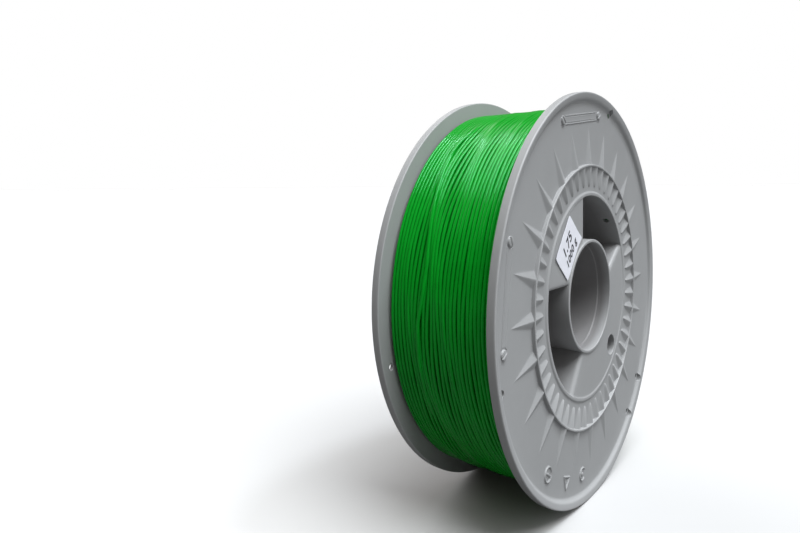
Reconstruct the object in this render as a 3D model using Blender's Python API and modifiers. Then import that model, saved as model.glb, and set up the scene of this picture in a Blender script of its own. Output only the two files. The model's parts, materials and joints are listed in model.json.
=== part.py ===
"""Filament spool: two press-fitted flange halves, a wound strand and a label.

The spool's axis is world Y and passes through the origin, which is the middle of the bore.
The labelled flange faces -Y. Angles round the axis run from +X towards +Z. Each half is
modelled in its own frame, with its axis on local Z and its outer face up, and both halves
are the same moulding, turned over about the axis of symmetry of the flange.
"""

from math import asin, cos, pi, radians, sin, sqrt, tan

import bmesh
import bpy
from mathutils import Matrix, Vector

# Overall sizes, in metres
FLANGE_RADIUS = 0.100
OVERALL_WIDTH = 0.060

# Flange disc and its rim lip
LIP_HEIGHT = 0.0022
LIP_WIDTH = 0.0034
LIP_ROUND = 0.0012
DISC_THICKNESS = 0.0018

# Drum, bore tube and hub plates
DRUM_RADIUS = 0.0514
DRUM_WALL = 0.0018
DRUM_EDGE_DEPTH = 0.0011
BORE_RADIUS = 0.0261
BORE_WALL = 0.0019
BORE_EDGE_DEPTH = 0.0012
BORE_MOUTH_STEP = 0.0004
BORE_MOUTH_LENGTH = 0.0060
PLATE_DEPTH = 0.0016
PLATE_THICKNESS = 0.0020

# Toothed ring round the hub
RING_OUTSIDE_DRUM = 0.0136
RING_WALL = 0.0010
RING_HEIGHT = 0.0016
LARGE_GUSSET_COUNT = 24
LARGE_GUSSET_RIM_GAP = 0.0160
LARGE_GUSSET_WIDTH = 0.0080
SMALL_GUSSET_COUNT = 48
SMALL_GUSSET_DRUM_GAP = 0.0034
SMALL_GUSSET_WIDTH = 0.0060
GUSSET_PHASE = radians(1.3)
GUSSET_SINK = 0.0004
GUSSET_BELOW_CREST = 0.0001

# Windows and spokes. The flange is the same on both sides of its symmetry line.
SYMMETRY_ANGLE = radians(135)
WINDOW_NEAR_ANGLE = radians(45)
WINDOW_FAR_ANGLE = radians(99)
WINDOW_OFFSET = 0.0080
WINDOW_LEDGE = 0.0004
SPOKE_WALL = 0.0020
SPOKE_EDGE_LEDGE = 0.0001

# Pegs and sockets that join the halves
POST_OFF_MIDDLE = 0.0002
POST_RADIUS = 0.0045
PEG_RADIUS = 0.0024
PEG_LENGTH = 0.0080
PEG_DRAFT = 0.0003
PEG_CLEARANCE = 0.0003
SOCKET_SPARE_DEPTH = 0.0010
PEG_OFFSETS = (radians(-15), radians(127), radians(-155))
HALF_GAP = 0.0003

# Holes
DRIVE_HOLE_RADIUS = 0.0052
DRIVE_COLLAR_WALL = 0.0015
DRIVE_COLLAR_GAP = 0.0001
DRIVE_COLLAR_LENGTH = 0.0080
RIM_HOLE_CLEARANCE = 0.000725
RIM_HOLE_OFFSETS = (radians(61), radians(-61), radians(173), radians(-173))
DRUM_HOLE_CLEARANCE = 0.000625
DRUM_HOLE_OFFSET = radians(89.3)
DRUM_HOLE_DEPTH = 0.0062
SEAM_NOTCH_CLEARANCE = 0.000325

# Strand and winding
STRAND_DIAMETER = 0.00175
WINDING_INSET = 0.0070
TOUCH_GAP = 0.0003
WINDING_ROUND = 0.0008
START_TAIL_LENGTH = 0.0120
START_TAIL_BEND = 0.0050
END_TAIL_HOLE = 3
END_TAIL_SWEEP = radians(24)
END_TAIL_BEND = 0.0050
END_TAIL_BELOW_RIM = 0.0003

# Label
LABEL_LENGTH = 0.0235
LABEL_MARGIN = 0.00205
LABEL_THICKNESS = 0.0002
LABEL_CORNER = 0.0015
LABEL_OFF_MIDDLE = -0.0008
LABEL_ANGLE = radians(136.2)
LABEL_TURN = radians(50.7)

# Fineness of round pieces
ROUND_STEPS = 72
SMALL_ROUND_STEPS = 16
MERGE = 0.0001
CUT_OVERRUN = 0.0010

FACE_DEPTH = LIP_HEIGHT
DISC_INNER_DEPTH = LIP_HEIGHT + DISC_THICKNESS
DRUM_INNER_RADIUS = DRUM_RADIUS - DRUM_WALL
BORE_OUTER_RADIUS = BORE_RADIUS + BORE_WALL
PLATE_MIDDLE_RADIUS = (BORE_OUTER_RADIUS + DRUM_INNER_RADIUS) / 2
RING_RADIUS = DRUM_RADIUS + RING_OUTSIDE_DRUM
LARGE_GUSSET_TIP_RADIUS = FLANGE_RADIUS - LARGE_GUSSET_RIM_GAP
SMALL_GUSSET_TIP_RADIUS = DRUM_RADIUS + SMALL_GUSSET_DRUM_GAP
POST_CIRCLE_RADIUS = PLATE_MIDDLE_RADIUS + POST_OFF_MIDDLE
DRIVE_COLLAR_RADIUS = DRIVE_HOLE_RADIUS + DRIVE_COLLAR_WALL
DRIVE_HOLE_CIRCLE = DRUM_INNER_RADIUS - DRIVE_COLLAR_RADIUS - DRIVE_COLLAR_GAP
LABEL_CIRCLE_RADIUS = PLATE_MIDDLE_RADIUS + LABEL_OFF_MIDDLE
LABEL_WIDTH = DRUM_INNER_RADIUS - BORE_OUTER_RADIUS - 2 * LABEL_MARGIN
RIM_HOLE_RADIUS = STRAND_DIAMETER / 2 + RIM_HOLE_CLEARANCE
DRUM_HOLE_RADIUS = STRAND_DIAMETER / 2 + DRUM_HOLE_CLEARANCE
SEAM_NOTCH_RADIUS = STRAND_DIAMETER / 2 + SEAM_NOTCH_CLEARANCE
WINDING_RADIUS = FLANGE_RADIUS - WINDING_INSET
RIM_HOLE_CIRCLE = WINDING_RADIUS + TOUCH_GAP + STRAND_DIAMETER / 2
WINDING_HALF_WIDTH = OVERALL_WIDTH / 2 - DISC_INNER_DEPTH - TOUCH_GAP

PART_NAME = "filament_spool"
GUIDE_NAME = "filament_spool_cutters"


def clear_scene():
    """Remove every object that the open file holds."""
    for obj in list(bpy.data.objects):
        bpy.data.objects.remove(obj, do_unlink=True)


def new_collection(name):
    """Make an empty collection in the scene."""
    collection = bpy.data.collections.new(name)
    bpy.context.scene.collection.children.link(collection)
    return collection


def principled(name, colour, roughness, metallic=0.0):
    """Make a material with one Principled shader."""
    material = bpy.data.materials.new(name)
    material.use_nodes = True
    shader = material.node_tree.nodes["Principled BSDF"]
    shader.inputs["Base Color"].default_value = (*colour, 1.0)
    shader.inputs["Roughness"].default_value = roughness
    shader.inputs["Metallic"].default_value = metallic
    material.diffuse_color = (*colour, 1.0)
    return material


def add_object(name, data, collection, parent=None):
    """Put mesh or curve data into a collection as an object."""
    obj = bpy.data.objects.new(name, data)
    collection.objects.link(obj)
    obj.parent = parent
    return obj


def mark_as_guide(obj):
    """Show an object as wire and keep it out of the finished part."""
    obj.hide_render = True
    obj.display_type = "WIRE"


def polar(radius, angle, height=0.0):
    """Give the point at a radius, an angle round Z and a height."""
    return Vector((radius * cos(angle), radius * sin(angle), height))


def turned(name, profile, collection, parent):
    """Turn a closed (radius, height) profile round local Z with a Screw modifier."""
    mesh = bpy.data.meshes.new(name)
    points = [(radius, 0.0, height) for radius, height in profile]
    edges = [(i, (i + 1) % len(points)) for i in range(len(points))]
    mesh.from_pydata(points, edges, [])
    obj = add_object(name, mesh, collection, parent)
    screw = obj.modifiers.new("turn", "SCREW")
    screw.axis = "Z"
    screw.steps = ROUND_STEPS
    screw.render_steps = ROUND_STEPS
    screw.use_merge_vertices = True
    screw.merge_threshold = MERGE
    screw.use_smooth_shade = True
    return obj


def prism_from_outline(name, outline, low, high, collection, parent):
    """Extrude a flat closed outline between two heights and make it a mesh."""
    curve = bpy.data.curves.new(name, "CURVE")
    curve.dimensions = "2D"
    curve.fill_mode = "BOTH"
    curve.extrude = (high - low) / 2
    spline = curve.splines.new("POLY")
    spline.points.add(len(outline) - 1)
    for point, (x, y) in zip(spline.points, outline):
        point.co = (x, y, 0.0, 1.0)
    spline.use_cyclic_u = True
    source = add_object(name + "_outline", curve, collection)
    mesh = bpy.data.meshes.new_from_object(
        source.evaluated_get(bpy.context.evaluated_depsgraph_get())
    )
    bpy.data.objects.remove(source, do_unlink=True)
    shape = bmesh.new()
    shape.from_mesh(mesh)
    bmesh.ops.remove_doubles(shape, verts=shape.verts, dist=MERGE / 10)
    bmesh.ops.recalc_face_normals(shape, faces=shape.faces)
    bmesh.ops.translate(shape, verts=shape.verts, vec=(0, 0, (high + low) / 2))
    shape.to_mesh(mesh)
    shape.free()
    mesh.name = name
    return add_object(name, mesh, collection, parent)


def add_block(shape, low, high, turn=0.0):
    """Add a box between two corners to a bmesh, turned round Z."""
    size = Vector(high) - Vector(low)
    centre = (Vector(high) + Vector(low)) / 2
    place = Matrix.Rotation(turn, 4, "Z") @ Matrix.Translation(centre)
    bmesh.ops.create_cube(shape, size=1.0, matrix=place @ Matrix.Diagonal((*size, 1.0)))


def add_rod(shape, centre, low, high, radius, top_radius=None):
    """Add an upright cylinder or cone between two heights to a bmesh."""
    place = Matrix.Translation((centre.x, centre.y, (low + high) / 2))
    bmesh.ops.create_cone(
        shape,
        cap_ends=True,
        segments=SMALL_ROUND_STEPS,
        radius1=radius,
        radius2=radius if top_radius is None else top_radius,
        depth=high - low,
        matrix=place,
    )


def bmesh_object(name, shape, collection, parent):
    """Turn a bmesh into an object."""
    mesh = bpy.data.meshes.new(name)
    shape.to_mesh(mesh)
    shape.free()
    return add_object(name, mesh, collection, parent)


def half_profile():
    """Outline of one half: flange, ring, hub plate, drum and bore tube, top to bottom.

    Heights are measured up from the middle plane, so depths count down from the rim.
    """
    top = OVERALL_WIDTH / 2
    base = HALF_GAP / 2
    face = top - FACE_DEPTH
    inner_face = top - DISC_INNER_DEPTH
    plate = top - PLATE_DEPTH
    plate_under = plate - PLATE_THICKNESS
    ring_top = face + RING_HEIGHT
    ring_inner = RING_RADIUS - RING_WALL
    drum_edge = top - DRUM_EDGE_DEPTH
    drum_slope = DRUM_RADIUS + (drum_edge - face)
    bore_edge = top - BORE_EDGE_DEPTH
    mouth = BORE_RADIUS + BORE_MOUTH_STEP
    mouth_end = bore_edge - BORE_MOUTH_LENGTH
    mouth_slope_end = mouth_end - BORE_MOUTH_STEP
    ring_foot = RING_HEIGHT * tan(radians(5))
    return [
        (mouth, bore_edge),
        (BORE_OUTER_RADIUS, bore_edge),
        (BORE_OUTER_RADIUS + (bore_edge - plate), plate),
        (DRUM_INNER_RADIUS - (drum_edge - plate), plate),
        (DRUM_INNER_RADIUS, drum_edge),
        (DRUM_RADIUS, drum_edge),
        (drum_slope, face),
        (ring_inner - ring_foot, face),
        (ring_inner, ring_top),
        (RING_RADIUS, ring_top),
        (RING_RADIUS + ring_foot, face),
        (FLANGE_RADIUS - LIP_WIDTH - LIP_HEIGHT / 2, face),
        (FLANGE_RADIUS - LIP_WIDTH, top),
        (FLANGE_RADIUS - LIP_ROUND, top),
        (FLANGE_RADIUS - LIP_ROUND * (1 - cos(pi / 4)), top - LIP_ROUND * (1 - sin(pi / 4))),
        (FLANGE_RADIUS, top - LIP_ROUND),
        (FLANGE_RADIUS, inner_face + LIP_ROUND / 2),
        (FLANGE_RADIUS - LIP_ROUND / 2, inner_face),
        (DRUM_RADIUS, inner_face),
        (DRUM_RADIUS, base),
        (DRUM_INNER_RADIUS, base),
        (DRUM_INNER_RADIUS, plate_under),
        (BORE_OUTER_RADIUS, plate_under),
        (BORE_OUTER_RADIUS, base),
        (BORE_RADIUS, base),
        (BORE_RADIUS, mouth_slope_end),
        (mouth, mouth_end),
    ]


def add_gusset(shape, angle, foot_radius, tip_radius, width):
    """Add a gusset: a triangular cone from the ring's crest down to a point on the disc."""
    face = OVERALL_WIDTH / 2 - FACE_DEPTH
    height = RING_HEIGHT - GUSSET_BELOW_CREST
    base = face - GUSSET_SINK
    rise = height + GUSSET_SINK
    widen = rise / height
    length = tip_radius - foot_radius
    made = bmesh.ops.create_cone(
        shape, cap_ends=True, segments=3, radius1=1.0, radius2=0.0, depth=1.0
    )
    # A three-sided cone has one corner on +Y, two below it, and its point on its axis.
    radial = Vector((cos(angle), sin(angle), 0.0)) * length * widen
    across = Vector((-sin(angle), cos(angle), 0.0)) * (width * widen / sqrt(3.0))
    upward = Vector((0.0, 0.0, rise / 1.5))
    drop = Vector((0.0, 0.0, -rise / 3))
    for vert in made["verts"]:
        along = vert.co.z + 0.5
        local = upward * vert.co.y + across * vert.co.x
        vert.co = (
            polar(foot_radius, angle, base + rise / 3) + radial * along + local + drop * along
        )


def gussets(name, collection, parent):
    """Make all large and small gussets of one half as one adder."""
    shape = bmesh.new()
    large_foot = RING_RADIUS - RING_WALL * 0.35
    small_foot = RING_RADIUS - RING_WALL * 0.65
    for i in range(LARGE_GUSSET_COUNT):
        angle = GUSSET_PHASE + 2 * pi * i / LARGE_GUSSET_COUNT
        add_gusset(shape, angle, large_foot, LARGE_GUSSET_TIP_RADIUS, LARGE_GUSSET_WIDTH)
    for i in range(SMALL_GUSSET_COUNT):
        angle = GUSSET_PHASE + 2 * pi * i / SMALL_GUSSET_COUNT
        add_gusset(shape, angle, small_foot, SMALL_GUSSET_TIP_RADIUS, SMALL_GUSSET_WIDTH)
    bmesh.ops.recalc_face_normals(shape, faces=shape.faces)
    return bmesh_object(name, shape, collection, parent)


def window_outline():
    """Outline of the window on the far side of the symmetry line.

    Its straight edges run beside two radii, WINDOW_OFFSET outside them, and its curved
    edges follow the bore tube and the drum, with a narrow ledge left on each.
    """
    inner = BORE_OUTER_RADIUS + WINDOW_LEDGE
    outer = DRUM_INNER_RADIUS - WINDOW_LEDGE
    offset = WINDOW_OFFSET - SPOKE_EDGE_LEDGE
    points = []
    for radius, forward in ((outer, True), (inner, False)):
        spread = asin(offset / radius)
        low = WINDOW_NEAR_ANGLE - spread
        high = WINDOW_FAR_ANGLE + spread
        steps = max(3, round((high - low) / (2 * pi / ROUND_STEPS)))
        for i in range(steps + 1):
            share = i / steps if forward else 1 - i / steps
            angle = low + (high - low) * share
            points.append((radius * cos(angle), radius * sin(angle)))
    return points


def turned_outline(outline, mirrored):
    """Place an outline drawn from the symmetry line on one side of it or the other."""
    side = -1 if mirrored else 1
    turn = SYMMETRY_ANGLE
    placed = [
        (x * cos(turn) - side * y * sin(turn), x * sin(turn) + side * y * cos(turn))
        for x, y in outline
    ]
    return placed[::-1] if mirrored else placed


def add_spokes(shape):
    """Add the four spoke walls beside the window edges, from the plate to the middle."""
    top = OVERALL_WIDTH / 2 - PLATE_DEPTH - PLATE_THICKNESS / 2
    far_offset = WINDOW_OFFSET + SPOKE_WALL
    inner_middle = BORE_OUTER_RADIUS - BORE_WALL * 0.4
    start = sqrt(inner_middle**2 - far_offset**2)
    end = DRUM_INNER_RADIUS
    for side in (1, -1):
        for edge_angle, way in ((WINDOW_NEAR_ANGLE, -1), (WINDOW_FAR_ANGLE, 1)):
            low_side = WINDOW_OFFSET if way * side > 0 else -far_offset
            low = (start, low_side, HALF_GAP / 2)
            high = (end, low_side + SPOKE_WALL, top)
            add_block(shape, low, high, SYMMETRY_ANGLE + side * edge_angle)


def hub_adders(name, collection, parent):
    """Make the spokes, the posts and the drive hole's collar."""
    shape = bmesh.new()
    plate_middle = OVERALL_WIDTH / 2 - PLATE_DEPTH - PLATE_THICKNESS / 2
    add_spokes(shape)
    for offset in PEG_OFFSETS:
        for side in (1, -1):
            centre = polar(POST_CIRCLE_RADIUS, SYMMETRY_ANGLE + side * offset)
            add_rod(shape, centre, HALF_GAP / 2, plate_middle, POST_RADIUS)
    centre = polar(DRIVE_HOLE_CIRCLE, SYMMETRY_ANGLE + pi)
    collar_low = OVERALL_WIDTH / 2 - PLATE_DEPTH - DRIVE_COLLAR_LENGTH
    add_rod(shape, centre, collar_low, plate_middle, DRIVE_COLLAR_RADIUS)
    return bmesh_object(name, shape, collection, parent)


def pegs(name, collection, parent):
    """Make the pegs, which stand out of their posts past the middle plane."""
    shape = bmesh.new()
    tip_radius = PEG_RADIUS - PEG_DRAFT
    for offset in PEG_OFFSETS:
        centre = polar(POST_CIRCLE_RADIUS, SYMMETRY_ANGLE + offset)
        add_rod(shape, centre, -PEG_LENGTH, PEG_LENGTH / 2, tip_radius, PEG_RADIUS)
    return bmesh_object(name, shape, collection, parent)


def hub_cutters(name, collection, parent):
    """Make the cutters of the sockets, the drive hole and the rim holes."""
    shape = bmesh.new()
    top = OVERALL_WIDTH / 2
    socket_radius = PEG_RADIUS + PEG_CLEARANCE
    for offset in PEG_OFFSETS:
        centre = polar(POST_CIRCLE_RADIUS, SYMMETRY_ANGLE - offset)
        add_rod(shape, centre, -CUT_OVERRUN, PEG_LENGTH + SOCKET_SPARE_DEPTH, socket_radius)
    centre = polar(DRIVE_HOLE_CIRCLE, SYMMETRY_ANGLE + pi)
    collar_low = top - PLATE_DEPTH - DRIVE_COLLAR_LENGTH
    add_rod(shape, centre, collar_low - CUT_OVERRUN, top + CUT_OVERRUN, DRIVE_HOLE_RADIUS)
    hole_low = top - DISC_INNER_DEPTH - CUT_OVERRUN
    for offset in RIM_HOLE_OFFSETS:
        centre = polar(RIM_HOLE_CIRCLE, SYMMETRY_ANGLE + offset)
        add_rod(shape, centre, hole_low, top + CUT_OVERRUN, RIM_HOLE_RADIUS)
    for angle, height, radius in (
        (SYMMETRY_ANGLE - DRUM_HOLE_OFFSET, top - DRUM_HOLE_DEPTH, DRUM_HOLE_RADIUS),
        (SYMMETRY_ANGLE, 0.0, SEAM_NOTCH_RADIUS),
    ):
        middle = polar(DRUM_RADIUS - DRUM_WALL / 2, angle, height)
        place = Matrix.Translation(middle) @ Matrix.Rotation(angle, 4, "Z")
        bmesh.ops.create_cone(
            shape,
            cap_ends=True,
            segments=SMALL_ROUND_STEPS,
            radius1=radius,
            radius2=radius,
            depth=DRUM_WALL + 2 * CUT_OVERRUN,
            matrix=place @ Matrix.Rotation(pi / 2, 4, "Y"),
        )
    return bmesh_object(name, shape, collection, parent)


def combine(obj, name, other, operation):
    """Add a live Boolean modifier and mark its other object as a guide."""
    mark_as_guide(other)
    modifier = obj.modifiers.new(name, "BOOLEAN")
    modifier.operation = operation
    modifier.solver = "EXACT"
    modifier.object = other


def make_half(name, frame, parts, guides, material):
    """Make one flange half in the frame of its empty."""
    half = turned(name, half_profile(), parts, frame)
    half.data.materials.append(material)
    plate_top = OVERALL_WIDTH / 2 + CUT_OVERRUN
    plate_low = OVERALL_WIDTH / 2 - PLATE_DEPTH - PLATE_THICKNESS - CUT_OVERRUN
    for mirrored in (False, True):
        side = "left" if mirrored else "right"
        outline = turned_outline(window_outline(), mirrored)
        window = prism_from_outline(
            f"{name}_{side}_window_cutter", outline, plate_low, plate_top, guides, frame
        )
        combine(half, f"cut {side} window", window, "DIFFERENCE")
    combine(half, "add hub", hub_adders(name + "_hub_adder", guides, frame), "UNION")
    combine(half, "add gussets", gussets(name + "_gusset_adder", guides, frame), "UNION")
    combine(half, "add pegs", pegs(name + "_peg_adder", guides, frame), "UNION")
    combine(half, "cut holes", hub_cutters(name + "_hole_cutter", guides, frame), "DIFFERENCE")
    return half


def make_winding(frame, parts, material):
    """Make the wound strand as a turned ring that clears the drum and both flanges."""
    inner = DRUM_RADIUS + TOUCH_GAP
    low = -WINDING_HALF_WIDTH
    high = WINDING_HALF_WIDTH
    profile = [
        (inner, high),
        (WINDING_RADIUS - WINDING_ROUND, high),
        (WINDING_RADIUS, high - WINDING_ROUND),
        (WINDING_RADIUS, low + WINDING_ROUND),
        (WINDING_RADIUS - WINDING_ROUND, low),
        (inner, low),
    ]
    winding = turned("filament_winding", profile, parts, frame)
    winding.data.materials.append(material)
    return winding


def strand_tube(name, points, parts, material):
    """Make a length of strand along points, as a round curve with closed ends."""
    curve = bpy.data.curves.new(name, "CURVE")
    curve.dimensions = "3D"
    curve.bevel_depth = STRAND_DIAMETER / 2
    curve.bevel_resolution = 2
    curve.use_fill_caps = True
    spline = curve.splines.new("POLY")
    spline.points.add(len(points) - 1)
    for point, place in zip(spline.points, points):
        point.co = (*place, 1.0)
    curve.materials.append(material)
    return add_object(name, curve, parts)


def bend_points(corner, inward, outward, radius):
    """Points round a bend that leads from one direction into one at right angles to it."""
    start = corner - inward * radius
    centre = start + outward * radius
    steps = 6
    return [
        centre - outward * radius * cos(pi / 2 * i / steps)
        + inward * radius * sin(pi / 2 * i / steps)
        for i in range(steps + 1)
    ]


def make_start_tail(parts, material):
    """Make the strand's inner end: in through the seam notch, then along the drum wall."""
    angle = SYMMETRY_ANGLE
    radial = Vector((cos(angle), 0.0, sin(angle)))
    to_label = Vector((0.0, -1.0, 0.0))
    outer = radial * DRUM_RADIUS
    corner = radial * (DRUM_INNER_RADIUS - START_TAIL_BEND)
    points = [outer]
    points += bend_points(corner, -radial, to_label, START_TAIL_BEND)
    points.append(points[-1] + to_label * START_TAIL_LENGTH)
    return strand_tube("filament_start", points, parts, material)


def make_end_tail(parts, material):
    """Make the strand's outer end: along the winding, then out through a rim hole."""
    radius = RIM_HOLE_CIRCLE
    hole_angle = SYMMETRY_ANGLE - RIM_HOLE_OFFSETS[END_TAIL_HOLE]
    bend_sweep = END_TAIL_BEND / radius
    inner_face = OVERALL_WIDTH / 2 - DISC_INNER_DEPTH
    lane = inner_face - END_TAIL_BEND
    steps = 10
    points = []
    for i in range(steps + 1):
        angle = hole_angle + bend_sweep + END_TAIL_SWEEP * (1 - i / steps)
        points.append(Vector((radius * cos(angle), lane, radius * sin(angle))))
    for i in range(1, 7):
        turn = pi / 2 * i / 6
        angle = hole_angle + bend_sweep * (1 - sin(turn))
        depth = lane + END_TAIL_BEND * (1 - cos(turn))
        points.append(Vector((radius * cos(angle), depth, radius * sin(angle))))
    end = OVERALL_WIDTH / 2 - END_TAIL_BELOW_RIM
    points.append(Vector((points[-1].x, end, points[-1].z)))
    return strand_tube("filament_end", points, parts, material)


def make_label(frame, parts, material):
    """Make the label: a thin rounded rectangle just above the hub plate."""
    outline = []
    for corner in range(4):
        across = LABEL_LENGTH / 2 - LABEL_CORNER
        along = LABEL_WIDTH / 2 - LABEL_CORNER
        x = across if corner in (0, 3) else -across
        y = along if corner in (0, 1) else -along
        for i in range(4):
            angle = pi / 2 * (corner + i / 3)
            outline.append((x + LABEL_CORNER * cos(angle), y + LABEL_CORNER * sin(angle)))
    centre = polar(LABEL_CIRCLE_RADIUS, LABEL_ANGLE)
    place = Matrix.Translation(centre) @ Matrix.Rotation(LABEL_TURN, 4, "Z")
    placed = [(place @ Vector((x, y, 0.0))).to_2d()[:] for x, y in outline]
    low = OVERALL_WIDTH / 2 - PLATE_DEPTH + TOUCH_GAP
    high = low + LABEL_THICKNESS
    label = prism_from_outline("material_label", placed, low, high, parts, frame)
    label.data.materials.append(material)
    return label


def make_frame(name, parts, axis_out):
    """Make the empty that carries one half, with local Z on the spool's axis."""
    frame = bpy.data.objects.new(name, None)
    parts.objects.link(frame)
    if axis_out > 0:
        turn = Matrix(((0, -1, 0), (0, 0, 1), (-1, 0, 0)))
    else:
        turn = Matrix(((1, 0, 0), (0, 0, -1), (0, 1, 0)))
    frame.rotation_euler = turn.to_euler()
    return frame


def main():
    """Build the whole spool."""
    clear_scene()
    parts = new_collection(PART_NAME)
    guides = new_collection(GUIDE_NAME)
    grey = principled("grey_moulded_plastic", (0.28, 0.285, 0.29), 0.45)
    green = principled("green_filament", (0.01, 0.36, 0.04), 0.22)
    paper = principled("white_label_paper", (0.85, 0.85, 0.88), 0.55)
    label_frame = make_frame("label_side_frame", parts, -1)
    far_frame = make_frame("far_side_frame", parts, 1)
    bpy.context.view_layer.update()
    make_half("label_side_half", label_frame, parts, guides, grey)
    make_half("far_side_half", far_frame, parts, guides, grey)
    make_winding(label_frame, parts, green)
    make_start_tail(parts, green)
    make_end_tail(parts, green)
    make_label(label_frame, parts, paper)


main()
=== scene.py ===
"""Looks of a filament spool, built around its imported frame.

The spool's axis is world Y through the origin. Each half is worked out in its own frame, with
its axis on Z and its outer face up at height TOP, then turned to its side of the spool.
"""

import json
from math import pi, radians

import bmesh
import bpy
import numpy as np
from mathutils import Matrix, Vector

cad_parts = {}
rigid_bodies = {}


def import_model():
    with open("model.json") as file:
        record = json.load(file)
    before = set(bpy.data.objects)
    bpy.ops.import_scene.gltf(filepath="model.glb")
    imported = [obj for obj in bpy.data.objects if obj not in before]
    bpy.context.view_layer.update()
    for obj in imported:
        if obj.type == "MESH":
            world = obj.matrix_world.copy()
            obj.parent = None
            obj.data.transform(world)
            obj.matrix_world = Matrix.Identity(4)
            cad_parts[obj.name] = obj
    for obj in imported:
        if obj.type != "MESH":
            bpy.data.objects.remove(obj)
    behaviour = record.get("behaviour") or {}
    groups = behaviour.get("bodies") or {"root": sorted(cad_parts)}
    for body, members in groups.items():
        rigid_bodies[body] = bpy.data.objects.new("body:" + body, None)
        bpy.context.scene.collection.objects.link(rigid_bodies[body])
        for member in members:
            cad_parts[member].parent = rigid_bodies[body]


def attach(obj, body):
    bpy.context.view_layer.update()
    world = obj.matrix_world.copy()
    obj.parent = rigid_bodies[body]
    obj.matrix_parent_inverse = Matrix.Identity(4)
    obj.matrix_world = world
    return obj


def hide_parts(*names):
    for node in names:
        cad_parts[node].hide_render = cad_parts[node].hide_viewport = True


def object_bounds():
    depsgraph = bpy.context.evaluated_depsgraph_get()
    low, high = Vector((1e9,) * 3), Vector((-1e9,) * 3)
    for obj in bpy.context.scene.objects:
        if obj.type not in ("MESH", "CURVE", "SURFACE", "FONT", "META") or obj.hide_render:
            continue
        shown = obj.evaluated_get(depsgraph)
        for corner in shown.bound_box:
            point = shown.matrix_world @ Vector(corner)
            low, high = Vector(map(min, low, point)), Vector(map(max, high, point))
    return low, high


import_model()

bl_info = {
    "name": "Filament Spool Looks",
    "version": (1, 0, 0),
    "blender": (4, 5, 0),
    "location": "3D View > Sidebar > Spool",
    "description": "Builds the visible pieces of a filament spool around its frame",
    "category": "Object",
}

CAD_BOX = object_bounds()
FLANGE_RADIUS = CAD_BOX[1].x
TOP = CAD_BOX[1].y

# Flange, rim lip and drum wall, in metres
FACE = TOP - 0.0022
INNER_FACE = TOP - 0.0040
BASE = 0.00015
LIP_WIDTH = 0.0034
LIP_SLOPE = 0.0011
LIP_FALL = 0.0007
DRUM_RADIUS = 0.0514
DRUM_INNER_RADIUS = 0.0496
DRUM_EDGE = TOP - 0.0016
RIM_HOLE_RADIUS = 0.0016
RIM_HOLE_CIRCLE = 0.094175
RIM_POCKET_RADIUS = 0.0024
RIM_POCKET_CIRCLE = 0.0954
RIM_HOLE_ANGLES = np.radians((196.0, 74.0, 308.0, 322.0))
DRUM_HOLE_RADIUS = 0.0015
DRUM_HOLE_ANGLE = radians(45.7)
DRUM_HOLE_HEIGHT = TOP - 0.0062
SEAM_NOTCH_RADIUS = 0.0012
SYMMETRY_ANGLE = radians(135)

# Toothed ring
RING_RADIUS = 0.0650
RING_INNER_RADIUS = 0.0640
RING_TOP = FACE + 0.0016
RING_DRAFT = 0.00014
GUSSET_HEIGHT = 0.0015
GUSSET_PHASE = radians(1.3)
SECTORS = 48
LARGE_TIP = 0.0840
LARGE_HALF_WIDTH = 0.0040
SMALL_TIP = 0.0540
SMALL_HALF_WIDTH = 0.0036
GUSSET_FOOT = 0.06465

# Hub
BORE_RADIUS = 0.0261
BORE_OUTER_RADIUS = 0.0280
BORE_EDGE = TOP - 0.0012
BORE_STEP = 0.0004
BORE_STEP_DEPTH = 0.0060
PLATE = TOP - 0.0019
PLATE_THICKNESS = 0.0020
WINDOW_OFFSET = 0.0080
SPOKE_WALL = 0.0020
SPOKE_ROUND = 0.0022
SPOKE_INNER_ROUND = 0.0006
PLATE_FILLET = 0.0003
PLATE_SINK = 0.0012
PLATE_SPANS = {"narrow": (90.0, 180.0), "wide": (234.0, 396.0)}
DRIVE_HOLE_RADIUS = 0.0052
DRIVE_HOLE_CIRCLE = 0.0428
DRIVE_HOLE_ANGLE = radians(-45)
DRIVE_HOLE_CUT_RADIUS = 0.0058
DRIVE_COLLAR_WALL = 0.0015
DRIVE_COLLAR_LENGTH = 0.0080
POST_CIRCLE = 0.0390
POST_RADIUS = 0.0045
PEG_OFFSETS = np.radians((-15.0, 127.0, -155.0))
PEG_RADIUS = 0.0024
PEG_LENGTH = 0.0080
SOCKET_RADIUS = 0.0027
SOCKET_DEPTH = 0.0090

# Painted shade deep inside the drum and the bore: where it starts, how deep it gets full, and its
# tint
PAINTED_SHADE_TOP = PLATE - 0.0005
PAINTED_SHADE_DEPTH = 0.009
BORE_PAINTED_SHADE_DEPTH = 0.003
PAINTED_SHADE_TINT = (0.64, 0.62, 0.62)

# Rim inserts and moulded marks; a mark is (kind, circle, angle in degrees)
INSERT_CIRCLE = 0.0876
INSERT_ANGLES = np.radians((97.25, 172.75))
INSERT_MARGINS = (0.0020, 0.0010)
INSERT_SPACING = 0.0002
INSERT_RISE = 0.00030
INSERT_GROOVE = 0.00032
SCREW_RADIUS = 0.0024
SCREW_TURNS = (0.5, -0.9)
RELIEF_SINK = 0.0006
MARKS = (("dial", 0.0872, 236.0), ("triangle", 0.0875, 251.0), ("flow", 0.0868, 264.0))
MARK_SIZE = 0.0085
MARK_SPACING = 0.00022
MARK_RISE = 0.00065
STROKE_HALF_WIDTH = 0.00035

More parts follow.
